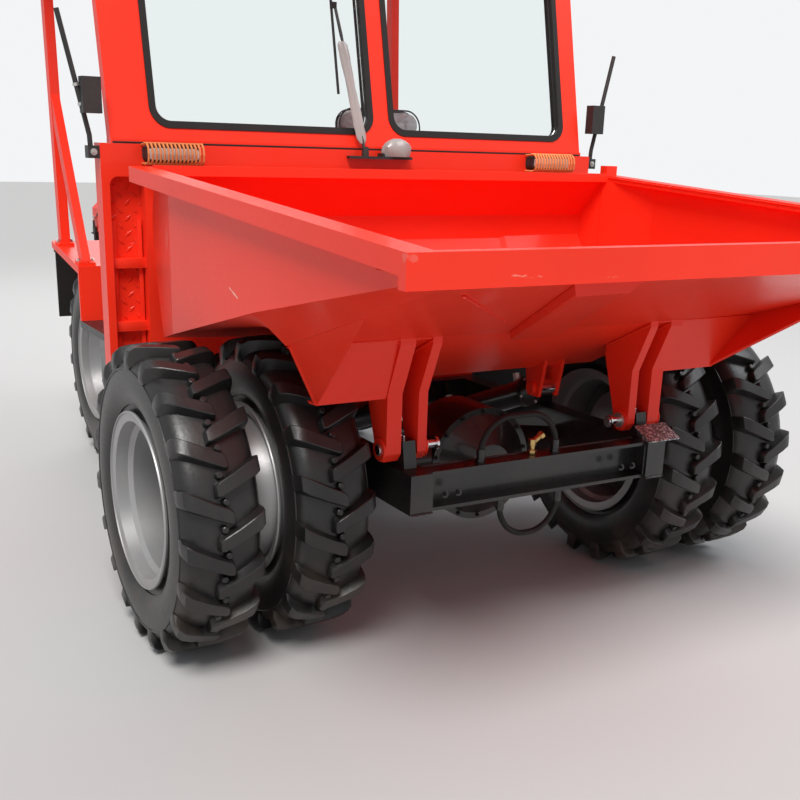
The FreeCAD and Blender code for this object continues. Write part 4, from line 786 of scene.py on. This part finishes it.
# %% Seat box, slides and back shell
bm = bmesh.new()
block(bm, (SEAT_X - 0.178, 0.353, 0.6405), (SEAT_X + 0.178, 0.659, 0.940))
piece("seat_box", bm, plastic, bevel=0.006)
bm = bmesh.new()
for s in (-1, 1):
    block(bm, (SEAT_X + s * 0.150 - 0.014, 0.345, 0.941), (SEAT_X + s * 0.150 + 0.014, 0.650, 0.958))
block(bm, (SEAT_X - 0.175, 0.330, 0.956), (SEAT_X + 0.175, 0.672, 0.970))
for i in range(5):
    block(bm, (SEAT_X - 0.120 + i * 0.055, 0.3485, 0.780), (SEAT_X - 0.095 + i * 0.055, 0.3535, 0.880))
piece("seat_slides", bm, black, bevel=0.002)
bm = bmesh.new()
turn = Matrix.Translation(BACK_PLACE) @ Matrix.Rotation(BACK_LEAN, 4, "X")
loft(bm, [[turn @ Vector((x, y, depth)) for x, y in rounded((0, 0), (0.118, 0.115), 0.058, 9)]
          for depth in (-0.026, -0.040)])
piece("seat_back_shell", bm, plastic, bevel=0.004)
print("seat pads", [len(t.data.polygons) for t in (CUSHION, BACK)])

# %% [markdown]
# Small parts come from a few helpers: a weld bead is a rippled bead along a
# seam, and a bolt is a washer with a six-sided head that points away from its
# face.

# %% Helpers for beads, bolts and folded plates
def bead(bm, start, end, r=0.0035, step=0.007):
    """A weld bead between two points, rippled along its length."""
    start, end = Vector(start), Vector(end)
    along = end - start
    count = max(2, int(along.length / step))
    turn = along.to_track_quat("Z", "Y").to_matrix()
    rings = []
    for k in range(count + 1):
        here = start + along * (k / count)
        ripple = 1 + 0.20 * math.sin(k * 2.2) + 0.12 * math.sin(k * 0.73 + start.x * 9)
        size = r * (ripple if 0 < k < count else 0.4)
        rings.append([here + turn @ Vector((math.cos(a) * size, math.sin(a) * size, 0))
                      for a in (math.tau * n / 6 for n in range(6))])
    loft(bm, rings)


def bolt(bm, place, way, r=0.010, washer=True):
    """Hexagon head on its washer; way points away from the face."""
    place, way = Vector(place), Vector(way).normalized()
    if washer:
        rod(bm, place - way * 0.001, place + way * r * 0.28, r * 1.45, 20)
    rod(bm, place, place + way * r * 0.95, r, 6)
    rod(bm, place + way * r * 0.9, place + way * r * 1.5, r * 0.5, 12)


def extruded(bm, outline, axis, low, high):
    """A plate with an outline in the two other axes, between two places on one axis."""
    own = "XYZ".index(axis)
    loft(bm, [[(*pair[:own], place, *pair[own:]) for pair in outline] for place in (low, high)])


# %% [markdown]
# The skip is welded sheet. Beads run where its rim, lip, fold and lugs meet the
# shell, one shallow rib runs aslant below the front slope, and each hinge pin
# has its thrust washers.

# %% Skip: beads, slope rib and hinge washers
LIP_Y, FOLD_Y, RAIL_END = -1.801, -1.109, -0.317
PIN = (0, -1.029, 0.555)


def rim_top(y):
    return 1.208 - 0.088 * (RAIL_END - y) / (RAIL_END - LIP_Y)


def slope_z(y):
    """Underside of the front slope."""
    return 0.845 + (1.060 - 0.845) * (FOLD_Y - y) / (FOLD_Y + 1.781)


bm = bmesh.new()
for s in (-1, 1):
    bead(bm, (s * 0.8215, -1.775, rim_top(-1.775) - 0.0405), (s * 0.8215, -0.330, rim_top(-0.330) - 0.0405), 0.0032)
    bead(bm, (s * 0.7845, -1.770, rim_top(-1.770) - 0.006), (s * 0.7845, -0.345, rim_top(-0.345) - 0.006), 0.0026)
    bead(bm, (s * 0.8440, -1.7765, 1.0625), (s * 0.8440, -1.7765, 1.0790), 0.0040)
    bead(bm, (s * 0.734, FOLD_Y - 0.002, 0.848), (s * 0.6405, FOLD_Y + 0.056, 0.6905), 0.0026)
    for x, z in ((0.334, 0.754), (0.360, 0.754), (0.408, 0.754), (0.450, 0.836)):
        bead(bm, (s * x, -1.1115, 0.838), (s * x, -0.942, z), 0.0034)
    bead(bm, (s * 0.36, FOLD_Y - 0.001, 0.8445), (s * 0.742, FOLD_Y - 0.001, 0.8455), 0.0026)
bead(bm, (-0.835, LIP_Y + 0.0245, 1.0600), (0.835, LIP_Y + 0.0245, 1.0600), 0.0034)
bead(bm, (-0.660, -1.684, slope_z(-1.684) - 0.0005), (-0.306, -1.325, slope_z(-1.325) - 0.0005), 0.0032)
fittings("skip_beads", bm, skip_red, "skip", sharp=70)

bm = bmesh.new()
# columns: Y, X from, X to of the folded rib that runs aslant below the slope
loft(bm, [[(x, y, slope_z(y) + dz) for x, dz in
           ((x0, 0.001), (x0 + 0.006, -0.022), (x1 - 0.030, -0.020), (x1, 0.001))]
          for y, x0, x1 in ((-1.772, -0.480, -0.322), (-1.118, -0.141, 0.040))])
piece("slope_rib", bm, skip_red, "skip", bevel=0.003)

bm = bmesh.new()
for s in (-1, 1):
    for x0, x1, r in ((0.4505, 0.4560, 0.030), (0.3285, 0.3335, 0.030)):
        spun(bm, ((s * x0, 0.0155), (s * x1, 0.0155), (s * x1, r - 0.002), (s * (x0 + x1) / 2, r), (s * x0, r)),
             PIN, steps=48)
piece("hinge_washers", bm, skip_red, "skip", merge=0)
bm = bmesh.new()
for s in (-1, 1):
    for x0, x1, r in ((0.3225, 0.284, 0.0105), (0.4575, 0.4600, 0.0120)):
        rod(bm, (s * x0, *PIN[1:]), (s * x1, *PIN[1:]), r, 24)
    spun(bm, ((s * 0.286, 0.0100), (s * 0.292, 0.0100), (s * 0.292, 0.0175), (s * 0.286, 0.0175)), PIN, steps=32)
    rod(bm, (s * 0.384, PIN[1], 0.5765), (s * 0.384, PIN[1], 0.5850), 0.0045, 10)
piece("pin_ends", bm, chrome, merge=0)

# %% [markdown]
# Below the skip: the hose ends have crimped collars and nuts, a brass elbow
# stands on the cross beam, and the tip cylinders have glands and port fittings.

# %% Hose ends, cylinder glands and ports
HOSE_Y, BEAM_TOP, BEAM_FOOT = -1.093, 0.508, 0.405
# columns: X of a hose's end, way that it leaves
HOSE_ENDS = ((-0.190, 1), (0.050, 1), (-0.120, -1), (0.070, -1))
bm = bmesh.new()
for x, way in HOSE_ENDS:
    z = BEAM_TOP if way > 0 else BEAM_FOOT
    for near, far, r, sides in ((0, 0.010, 0.0135, 6), (0.009, 0.036, 0.0108, 20), (0.014, 0.017, 0.0116, 20),
                                (0.021, 0.024, 0.0116, 20), (0.028, 0.031, 0.0116, 20)):
        rod(bm, (x, HOSE_Y, z + way * near), (x, HOSE_Y, z + way * far), r, sides)
fittings("hose_collars", bm, black, sharp=50)
bm = bmesh.new()
rods(bm, ((-0.020, -1.085, 0.5085), (-0.020, -1.085, 0.520), 0.0125, 6),
     ((-0.020, -1.085, 0.519), (-0.020, -1.085, 0.540), 0.0080, 16),
     ((-0.020, -1.085, 0.540), (0.004, -1.085, 0.556), 0.0080, 16),
     ((-0.020, -1.085, 0.532), (-0.020, -1.085, 0.550), 0.0115, 6),
     ((0.002, -1.085, 0.5545), (0.012, -1.085, 0.5610), 0.0112, 6))
piece("brass_elbow", bm, brass, bevel=0.0006, merge=0)

ROD_END, FOOT = Vector((0, -0.769, 0.605)), Vector((0, -0.209, 0.385))
AXIS = (ROD_END - FOOT).normalized()
PORT_WAY = AXIS.cross(Vector((1, 0, 0)))
PORT_WAY = PORT_WAY if PORT_WAY.z > 0 else -PORT_WAY
bm_barrel, bm_port = bmesh.new(), bmesh.new()
for s in (-1, 1):
    at = lambda t: FOOT.lerp(ROD_END, t) + Vector((s * 0.250, 0, 0))
    rods(bm_barrel, (at(0.835), at(0.878), 0.0455, 40), (at(0.878), at(0.884), 0.0360, 40),
         (at(0.060), at(0.085), 0.0440, 40))
    for k in range(4):
        a = math.tau * k / 4 + 0.4
        side = Vector((math.cos(a), 0, 0)) + AXIS.cross(Vector((1, 0, 0))) * math.sin(a)
        rod(bm_port, at(0.884) + side * 0.0385, at(0.889) + side * 0.0385, 0.0045, 6)
    for t in (0.12, 0.80):
        rods(bm_port, (at(t) + PORT_WAY * 0.036, at(t) + PORT_WAY * 0.052, 0.0130, 20),
             (at(t) + PORT_WAY * 0.050, at(t) + PORT_WAY * 0.064, 0.0125, 6))
fittings("cylinder_glands", bm_barrel, black, "tip_barrels")
fittings("cylinder_ports", bm_port, zinc, "tip_barrels")

# %% [markdown]
# The platform's front wall carries the lamps, the wiper and the mirrors. Each
# lamp guard becomes a row of bent hoops under a top rail, with the lens and its
# black plastic bowl behind. The step channels get the side strips that hold their
# ledges.

# %% Front wall: lamp guards, lamps, step strips and splash sheets
WALL_Y, SEAM_Z = -0.144, 1.265
# columns: out from the wall, height
HOOP = ((0.002, 1.2635), (0.050, 1.2665), (0.062, 1.2560), (0.066, 1.2380), (0.062, 1.2200), (0.050, 1.2125),
        (0.002, 1.2115))
LAMP_X, LAMP_Z = 0.675, 1.239
for s, word in SIDES:
    bm = bmesh.new()
    x0, x1 = 0.588, 0.762
    for k in range(15):
        x = s * (x0 + 0.006 + (x1 - x0 - 0.012) * k / 14)
        path = [(x, WALL_Y - out, z) for out, z in HOOP]
        for a, b in zip(path, path[1:]):
            rod(bm, a, b, 0.0033, 8)
        for a in path[1:-1]:
            bmesh.ops.create_icosphere(bm, subdivisions=1, radius=0.0034, matrix=Matrix.Translation(a))
    for y, z in ((WALL_Y - 0.040, 1.2680), (WALL_Y - 0.040, 1.2115)):
        rod(bm, (s * x0, y, z), (s * x1, y, z), 0.0026, 10)
    made_guard = fittings("lamp_hoops_" + word, bm, amber, sharp=60)
    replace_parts(made_guard, "lamp_guards")
    bm = bmesh.new()
    outline = rounded((s * LAMP_X, LAMP_Z), (0.067, 0.008), 0.012, 5)
    extruded(bm, outline, "Y", WALL_Y - 0.002, WALL_Y - 0.040)
    piece("lamp_bowl_" + word, bm, plastic, bevel=0.002)
    bm = bmesh.new()
    small = [(s * LAMP_X + (x - s * LAMP_X) * 0.93, LAMP_Z + (z - LAMP_Z) * 0.80) for x, z in outline]
    extruded(bm, small, "Y", WALL_Y - 0.039, WALL_Y - 0.046)
    for k in range(9):
        x = s * (0.612 + 0.0158 * k)
        rod(bm, (x, WALL_Y - 0.0455, 1.2300), (x, WALL_Y - 0.0455, 1.2480), 0.0022, 8)
    made_lens = piece("lamp_lens_" + word, bm, lens_clear, bevel=0.001)
    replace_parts(made_lens, "headlamps")

bm = bmesh.new()
for s in (-1, 1):
    for x in (0.762, 0.838):
        block(bm, (s * x - 0.006, -0.1125, 0.612), (s * x + 0.006, -0.0988, 1.050))
    for z in (0.745, 0.930):
        block(bm, (s * 0.800 - 0.047, -0.1262, z - 0.0135), (s * 0.800 + 0.047, -0.1235, z + 0.0145))
piece("step_strips", bm, red, bevel=0.0016)
bm = bmesh.new()
for s in (-1, 1):
    sheet = ((0.424, 0.614), (0.742, 0.614), (0.742, 0.470), (0.724, 0.440), (0.424, 0.440))
    extruded(bm, [(s * x, z) for x, z in sheet], "Y", WALL_Y + 0.008, WALL_Y + 0.013)
piece("splash_sheets", bm, seal_rubber, bevel=0.0012)
bm = bmesh.new()
for s in (-1, 1):
    for k in range(4):
        bolt(bm, (s * (0.450 + 0.088 * k), WALL_Y - 0.0005, 0.626), (0, -1, 0), 0.0055)
fittings("wall_bolts", bm, zinc)
bm = bmesh.new()
block(bm, (-0.836, -0.1385, 1.2652), (0.836, -0.1330, 1.2705))
piece("screen_foot_seal", bm, seal_rubber, bevel=0.001)

# %% Wiper: motor cover in cloudy film, wrapped arm and blade
chance = random.Random(7)
bm = bmesh.new()
rings = []
# columns: height over the bracket, half width of the crumpled cover
for z, r in ((0.001, 0.92), (0.016, 1.0), (0.030, 0.96), (0.042, 0.80), (0.051, 0.55), (0.056, 0.25)):
    rings.append([])
    for a in (math.tau * k / 28 for k in range(28)):
        far = r * (1 + 0.09 * math.sin(3 * a + 40 * z) + chance.uniform(-0.05, 0.05))
        rings[-1].append((0.062 + 0.052 * far * math.cos(a), WALL_Y - 0.0290 + 0.0250 * far * math.sin(a),
                          SEAM_Z - 0.0185 + z))
loft(bm, rings)
fittings("wiper_cover", bm, cloudy, sharp=22)
RAKE = 0.2217


def screen_face(z, out=0.0):
    """Y of the windscreen's front face."""
    return -0.1330 + RAKE * (z - SEAM_Z) - out


ARM = ((-0.046, 1.268, 0.026), (-0.052, 1.330, 0.022), (-0.090, 1.600, 0.018), (-0.102, 1.690, 0.013))
bm = bmesh.new()
rod(bm, (-0.046, WALL_Y - 0.022, SEAM_Z - 0.0185), (-0.046, WALL_Y - 0.022, SEAM_Z + 0.010), 0.0120, 20, 0.0105)
for a, b in zip(ARM, ARM[1:]):
    rod(bm, (a[0], screen_face(a[1], a[2]), a[1]), (b[0], screen_face(b[1], b[2]), b[1]), 0.0052, 12, 0.0046)
fittings("wiper_arm", bm, plastic)
bm = bmesh.new()
rings = []
for k in range(26):
    t = k / 25
    z = 1.285 + 0.300 * t
    end = 0.55 if k in (0, 25) else 1
    rings.append([])
    for a in (math.tau * i / 14 for i in range(14)):
        wide = 0.0165 * (1 + 0.10 * math.sin(9 * t + 2 * a) + chance.uniform(-0.05, 0.05)) * end
        rings[-1].append((-0.048 - 0.0425 * t + wide * math.cos(a),
                          screen_face(z, 0.0215 - 0.0035 * t) + 0.0072 * math.sin(a), z))
loft(bm, rings, capped=False)
fittings("wiper_wrap", bm, cloudy, sharp=30)
bm = bmesh.new()
for k in range(24):
    z0, z1 = 1.430 + 0.0208 * k, 1.430 + 0.0208 * (k + 1)
    rod(bm, (-0.1120, screen_face(z0, 0.0085), z0), (-0.1120, screen_face(z1, 0.0085), z1), 0.0042, 6)
block(bm, (-0.1160, screen_face(1.69, 0.0200), 1.680), (-0.0980, screen_face(1.69, 0.0080), 1.698))
fittings("wiper_blade", bm, seal_rubber)

# %% Mirrors: glass, clamps and bolts
for s, word in SIDES:
    x0, x1 = sorted((0.871 * s, 0.913 * s))
    bm = bmesh.new()
    block(bm, (x0, -0.1202, 1.347), (x1, -0.1180, 1.432))
    piece("mirror_glass_" + word, bm, chrome, bevel=0.0009)
    bm = bmesh.new()
    for z in (1.362, 1.412):
        x = s * (0.897 + (z - 1.285) * 0.21875)
        rod(bm, (x, -0.124, z), (x + s * 0.0018, -0.124, z + 0.008), 0.0095, 16)
    bolt(bm, (s * 0.8915, -0.1423, 1.240), (0, -1, 0), 0.0065)
    fittings("mirror_clamp_" + word, bm, zinc)
print("front wall dressed")

# %% [markdown]
# In the cab, the console carries round gauges, switches and a key, the pedals
# have ribbed rubber, and each lever stands in a gaiter.

# %% Cab: gauges, switches, pedals and gaiters
DASH_TOP, DASH_EDGE = Vector((0, 0.031, 1.190)), Vector((0, 0.111, 1.125))
DASH_OUT = Vector((0, 0.6306, 0.7761))


def on_dash(x, t, out=0.0):
    p = DASH_TOP.lerp(DASH_EDGE, t) + DASH_OUT * out
    return Vector((x, p.y, p.z))


def on_dial(degrees):
    """Direction in the plane of the dash."""
    up = (DASH_TOP - DASH_EDGE).normalized()
    return Vector((1, 0, 0)) * math.cos(math.radians(degrees)) + up * math.sin(math.radians(degrees))


# columns: X, place down the slope, radius, needle's angle
GAUGES = ((0.250, 0.48, 0.030, 130), (0.325, 0.48, 0.030, 60), (0.395, 0.30, 0.018, 100), (0.395, 0.72, 0.018, 40),
          (0.600, 0.48, 0.030, 150))
bm_rim, bm_dial, bm_needle = bmesh.new(), bmesh.new(), bmesh.new()
for x, t, r, angle in GAUGES:
    rod(bm_rim, on_dash(x, t, -0.001), on_dash(x, t, 0.006), r, 32, r * 0.94)
    rod(bm_dial, on_dash(x, t, 0.001), on_dash(x, t, 0.0064), r * 0.84, 32)
    middle = on_dash(x, t, 0.0068)
    rod(bm_needle, middle, middle + on_dial(angle) * r * 0.6, 0.0009, 6)
    for k in range(9):
        way = on_dial(-30 + 30 * k)
        rod(bm_needle, middle + way * r * 0.66, middle + way * r * 0.78, 0.0007, 5)
fittings("gauge_rims", bm_rim, plastic)
fittings("gauge_dials", bm_dial, lens_clear)
fittings("gauge_marks", bm_needle, black)
bm = bmesh.new()
for k in range(4):
    p = on_dash(0.660, 0.2 + 0.2 * k)
    block(bm, (p.x - 0.010, p.y - 0.004, p.z - 0.004), (p.x + 0.010, p.y + 0.006, p.z + 0.006))
KEY = on_dash(0.545, 0.25)
rod(bm, KEY - DASH_OUT * 0.001, KEY + DASH_OUT * 0.010, 0.0095, 20)
block(bm, (KEY.x - 0.0012, KEY.y + 0.004, KEY.z + 0.006), (KEY.x + 0.0012, KEY.y + 0.020, KEY.z + 0.026))
piece("switches", bm, plastic, bevel=0.001, merge=0)

bm = bmesh.new()
for x in (0.390, 0.550, 0.630):
    for k in range(6):
        z = 0.737 + 0.0132 * k
        rod(bm, (x - 0.029, 0.0935, z), (x + 0.029, 0.0935, z), 0.0028, 8)
fittings("pedal_ribs", bm, seal_rubber, sharp=50)
bm = bmesh.new()
# columns: X, Y of a lever's foot, its lean over its height
for x, y, lean in ((0.640, 0.266, 30 / 420), (0.690, 0.271, 20 / 380), (0.180, 0.371, 25 / 460)):
    for k in range(5):
        z0 = 0.650 + 0.016 * k
        wide, narrow = 0.0270 - 0.0028 * k, 0.0205 - 0.0024 * k
        here = lambda z: (x, y - lean * (z - 0.64), z)
        rod(bm, here(z0), here(z0 + 0.007), narrow + 0.002, 20, wide)
        rod(bm, here(z0 + 0.007), here(z0 + 0.0165), wide, 20, narrow)
fittings("lever_gaiters", bm, seal_rubber, sharp=30)
bm = bmesh.new()
hub = Vector((0.495, 0.071, 1.1575)) + DASH_OUT * 0.0625
rod(bm, hub, hub + DASH_OUT * 0.006, 0.030, 32, 0.024)
rod(bm, hub + DASH_OUT * 0.006, hub + DASH_OUT * 0.009, 0.014, 24, 0.011)
fittings("wheel_cap", bm, black, "hand_wheel")

# %% [markdown]
# The engine cover has folded louvre lips, rubber grips and draw latches, and
# the housing's rear opening has bars. The silencer is banded, the tank is
# strapped and has its filler, and the rear lamps have ribbed lenses.

# %% Engine cover, housing and exhaust
bm_lid, bm_grip, bm_keep, bm_latch = bmesh.new(), bmesh.new(), bmesh.new(), bmesh.new()
for s in (-1, 1):
    for y in (0.941, 1.141, 1.331):
        for z in (0.958, 0.978):
            top = min(z + 0.0085, 0.9805)
            lip = ((0.4290, z + 0.0042), (0.4290, top), (0.4375, z + 0.0004), (0.4362, z - 0.0015))
            extruded(bm_lid, [(s * a, b) for a, b in lip], "Y", y - 0.063, y + 0.063)
    rod(bm_grip, (s * 0.448, 1.446, 0.9585), (s * 0.448, 1.516, 0.9585), 0.0118, 20)
    block(bm_keep, (s * 0.4345 - 0.0050, 1.632, 0.934), (s * 0.4345 + 0.0050, 1.652, 0.946))
    rod(bm_keep, (s * 0.440, 1.630, 0.943), (s * 0.440, 1.654, 0.943), 0.0035, 10)
    block(bm_latch, (s * 0.4355 - 0.0060, 1.624, 0.866), (s * 0.4355 + 0.0060, 1.660, 0.900))
    block(bm_latch, (s * 0.4400 - 0.0035, 1.636, 0.896), (s * 0.4400 + 0.0035, 1.648, 0.9275))
    rod(bm_latch, (s * 0.446, 1.626, 0.872), (s * 0.446, 1.658, 0.872), 0.0040, 10)
for x in (-0.24, 0.0, 0.24):
    rib = ((-0.030, 1.0095), (-0.024, 1.0120), (0.024, 1.0120), (0.030, 1.0095))
    extruded(bm_lid, [(x + a, b) for a, b in rib], "Y", 0.86, 1.62)
piece("louvre_lips", bm_lid, red, "engine_lid", bevel=0.0008, merge=0)
fittings("hood_grips", bm_grip, seal_rubber, "engine_lid")
piece("latch_keepers", bm_keep, zinc, "engine_lid", bevel=0.0008, merge=0)
piece("hood_latches", bm_latch, plastic, bevel=0.0014, merge=0)
bm = bmesh.new()
for k in range(17):
    x = -0.160 + 0.020 * k
    rod(bm, (x, 1.682, 0.640), (x, 1.682, 0.812), 0.0016, 6)
for i in range(7):
    z = 0.643 + 0.028 * i
    rod(bm, (-0.170, 1.6845, z), (0.170, 1.6845, z), 0.0016, 6)
fittings("rear_mesh", bm, black, sharp=50)
bm = bmesh.new()
for i in range(6):
    z = 0.650 + 0.028 * i
    slat = ((1.6905, 0.0125), (1.6905, 0.0175), (1.6985, 0.0085), (1.6972, 0.0065))
    extruded(bm, [(y, z + dz) for y, dz in slat], "X", -0.172, 0.172)
for s in (-1, 1):
    for z in (0.62, 0.72, 0.81):
        bolt(bm, (s * 0.205, 1.6912, z), (0, 1, 0), 0.0055)
piece("grille_lips", bm, red, bevel=0.0006, merge=0)
bm = bmesh.new()
EXHAUST = (-0.500, 0.851)
for z in (0.899, 0.906, 1.129, 1.136):
    rod(bm, (*EXHAUST, z - 0.0025), (*EXHAUST, z + 0.0025), 0.0515, 40)
rod(bm, (*EXHAUST, 1.142), (*EXHAUST, 1.156), 0.0300, 32, 0.0255)
fittings("silencer_seams", bm, black)
bm = bmesh.new()
for z in (1.175, 1.375):
    rod(bm, (*EXHAUST, z), (*EXHAUST, z + 0.016), 0.0265, 32)
    bolt(bm, (EXHAUST[0], EXHAUST[1] + 0.0275, z + 0.008), (0, 1, 0), 0.0050)
fittings("pipe_clamps", bm, zinc)

# %% Fuel tank straps and filler, rear lamps and flaps
bm = bmesh.new()
inner, outer = (rounded((-0.591, 0.508), (0.079, 0.072), r, 7) for r in (0.0358, 0.0385))
for y in (0.130, 0.490):
    for k in range(len(inner)):
        n = (k + 1) % len(inner)
        extruded(bm, [inner[k], outer[k], outer[n], inner[n]], "Y", y - 0.016, y + 0.016)
    bolt(bm, (-0.7085, y, 0.520), (-1, 0, 0), 0.0060)
piece("tank_straps", bm, zinc, sharp=40)
bm = bmesh.new()
rod(bm, (-0.704, 0.060, 0.545), (-0.730, 0.060, 0.557), 0.0270, 32)
rod(bm, (-0.728, 0.060, 0.556), (-0.748, 0.060, 0.565), 0.0350, 32)
for k in range(12):
    a = math.tau * k / 12
    off = Vector((0, math.cos(a) * 0.035, math.sin(a) * 0.035))
    rod(bm, Vector((-0.729, 0.060, 0.5565)) + off, Vector((-0.747, 0.060, 0.5645)) + off, 0.0042, 8)
rod(bm, (-0.590, 0.300, 0.3985), (-0.590, 0.300, 0.4035), 0.0110, 6)
fittings("tank_filler", bm, black)
bm_base, bm_lens = bmesh.new(), bmesh.new()
for s in (-1, 1):
    mid = s * 0.370
    block(bm_base, (mid - 0.040, 1.6915, 0.850), (mid + 0.040, 1.7070, 0.915))
    block(bm_lens, (mid - 0.037, 1.7065, 0.853), (mid + 0.037, 1.7180, 0.912))
    for k in range(8):
        z = 0.857 + 0.0072 * k
        rod(bm_lens, (mid - 0.035, 1.7178, z), (mid + 0.035, 1.7178, z), 0.0022, 6)
    for x in (-0.030, 0.030):
        rod(bm_base, (mid + x, 1.717, 0.8825), (mid + x, 1.7205, 0.8825), 0.0030, 10)
piece("rear_lamp_bases", bm_base, plastic, bevel=0.0016, merge=0)
made_lens = piece("rear_lamp_lenses", bm_lens, lens_red, bevel=0.0016, merge=0)
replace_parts(made_lens, "rear_lamps")
bm = bmesh.new()
for s in (-1, 1):
    for x in (0.468, 0.515, 0.562, 0.606):
        bolt(bm, (s * x, 1.5655, 0.810), (0, -1, 0), 0.0060)
    for x, y in ((0.722, 0.701), (0.722, 0.999)):
        for d in (-0.0245, 0.0245):
            z = 0.836 + 0.1421 * (y - 0.667) + 0.0122
            bolt(bm, (s * x + d, y, z), (0, -0.14, 0.99), 0.0060)
fittings("guard_bolts", bm, zinc)

# %% Axles, drive shaft and chassis: bolts, beads and joints
bm = bmesh.new()
for k in range(14):
    a = math.tau * (k + 0.5) / 14
    bolt(bm, (0.020 + 0.158 * math.cos(a), FRONT_Y - 0.085, TYRE_R + 0.158 * math.sin(a)), (0, -1, 0), 0.0070, False)
rod(bm, (0.020, FRONT_Y - 0.133, TYRE_R), (0.020, FRONT_Y - 0.143, TYRE_R), 0.0120, 6)
for s in (-1, 1):
    for z in (-1, 1):
        rod(bm, (s * 0.385, REAR_Y, TYRE_R + z * 0.079), (s * 0.385, REAR_Y, TYRE_R + z * 0.092), 0.0165, 6)
    for k in range(8):
        a = math.tau * k / 8
        y, z = FRONT_Y + 0.045 * math.cos(a), TYRE_R + 0.045 * math.sin(a)
        rod(bm, (s * 0.7615, y, z), (s * 0.7665, y, z), 0.004, 6)
fittings("axle_bolts", bm, black)
bm = bmesh.new()
for s in (-1, 1):
    x0, x1 = s * 0.353, s * 0.418
    bead(bm, (x0, -1.1305, 0.4055), (x1, -1.1305, 0.4055), 0.003)
    bead(bm, (x0, -1.1175, 0.412), (x0, -1.1175, 0.500), 0.003)
    for x in (0.366, 0.402):
        bead(bm, (s * x, -1.066, 0.5090), (s * x, -0.968, 0.5090), 0.0034)
bead(bm, (-0.352, -1.0635, 0.5085), (0.352, -1.0635, 0.5085), 0.0028)
for x in (-0.31, -0.27, 0.27, 0.31):
    bolt(bm, (x, -1.1178, 0.4450), (0, -1, 0), 0.0065)
fittings("chassis_beads", bm, black, sharp=60)
bm = bmesh.new()
for s in (-1, 1):
    for k in range(3):
        z = 0.4313 + 0.0028 * k
        rod(bm, (s * 0.385, 1.261, z), (s * 0.385, 1.261, z + 0.0022), 0.0185 - 0.002 * k, 20)
fittings("ball_joint_boots", bm, seal_rubber)
print("small parts done")
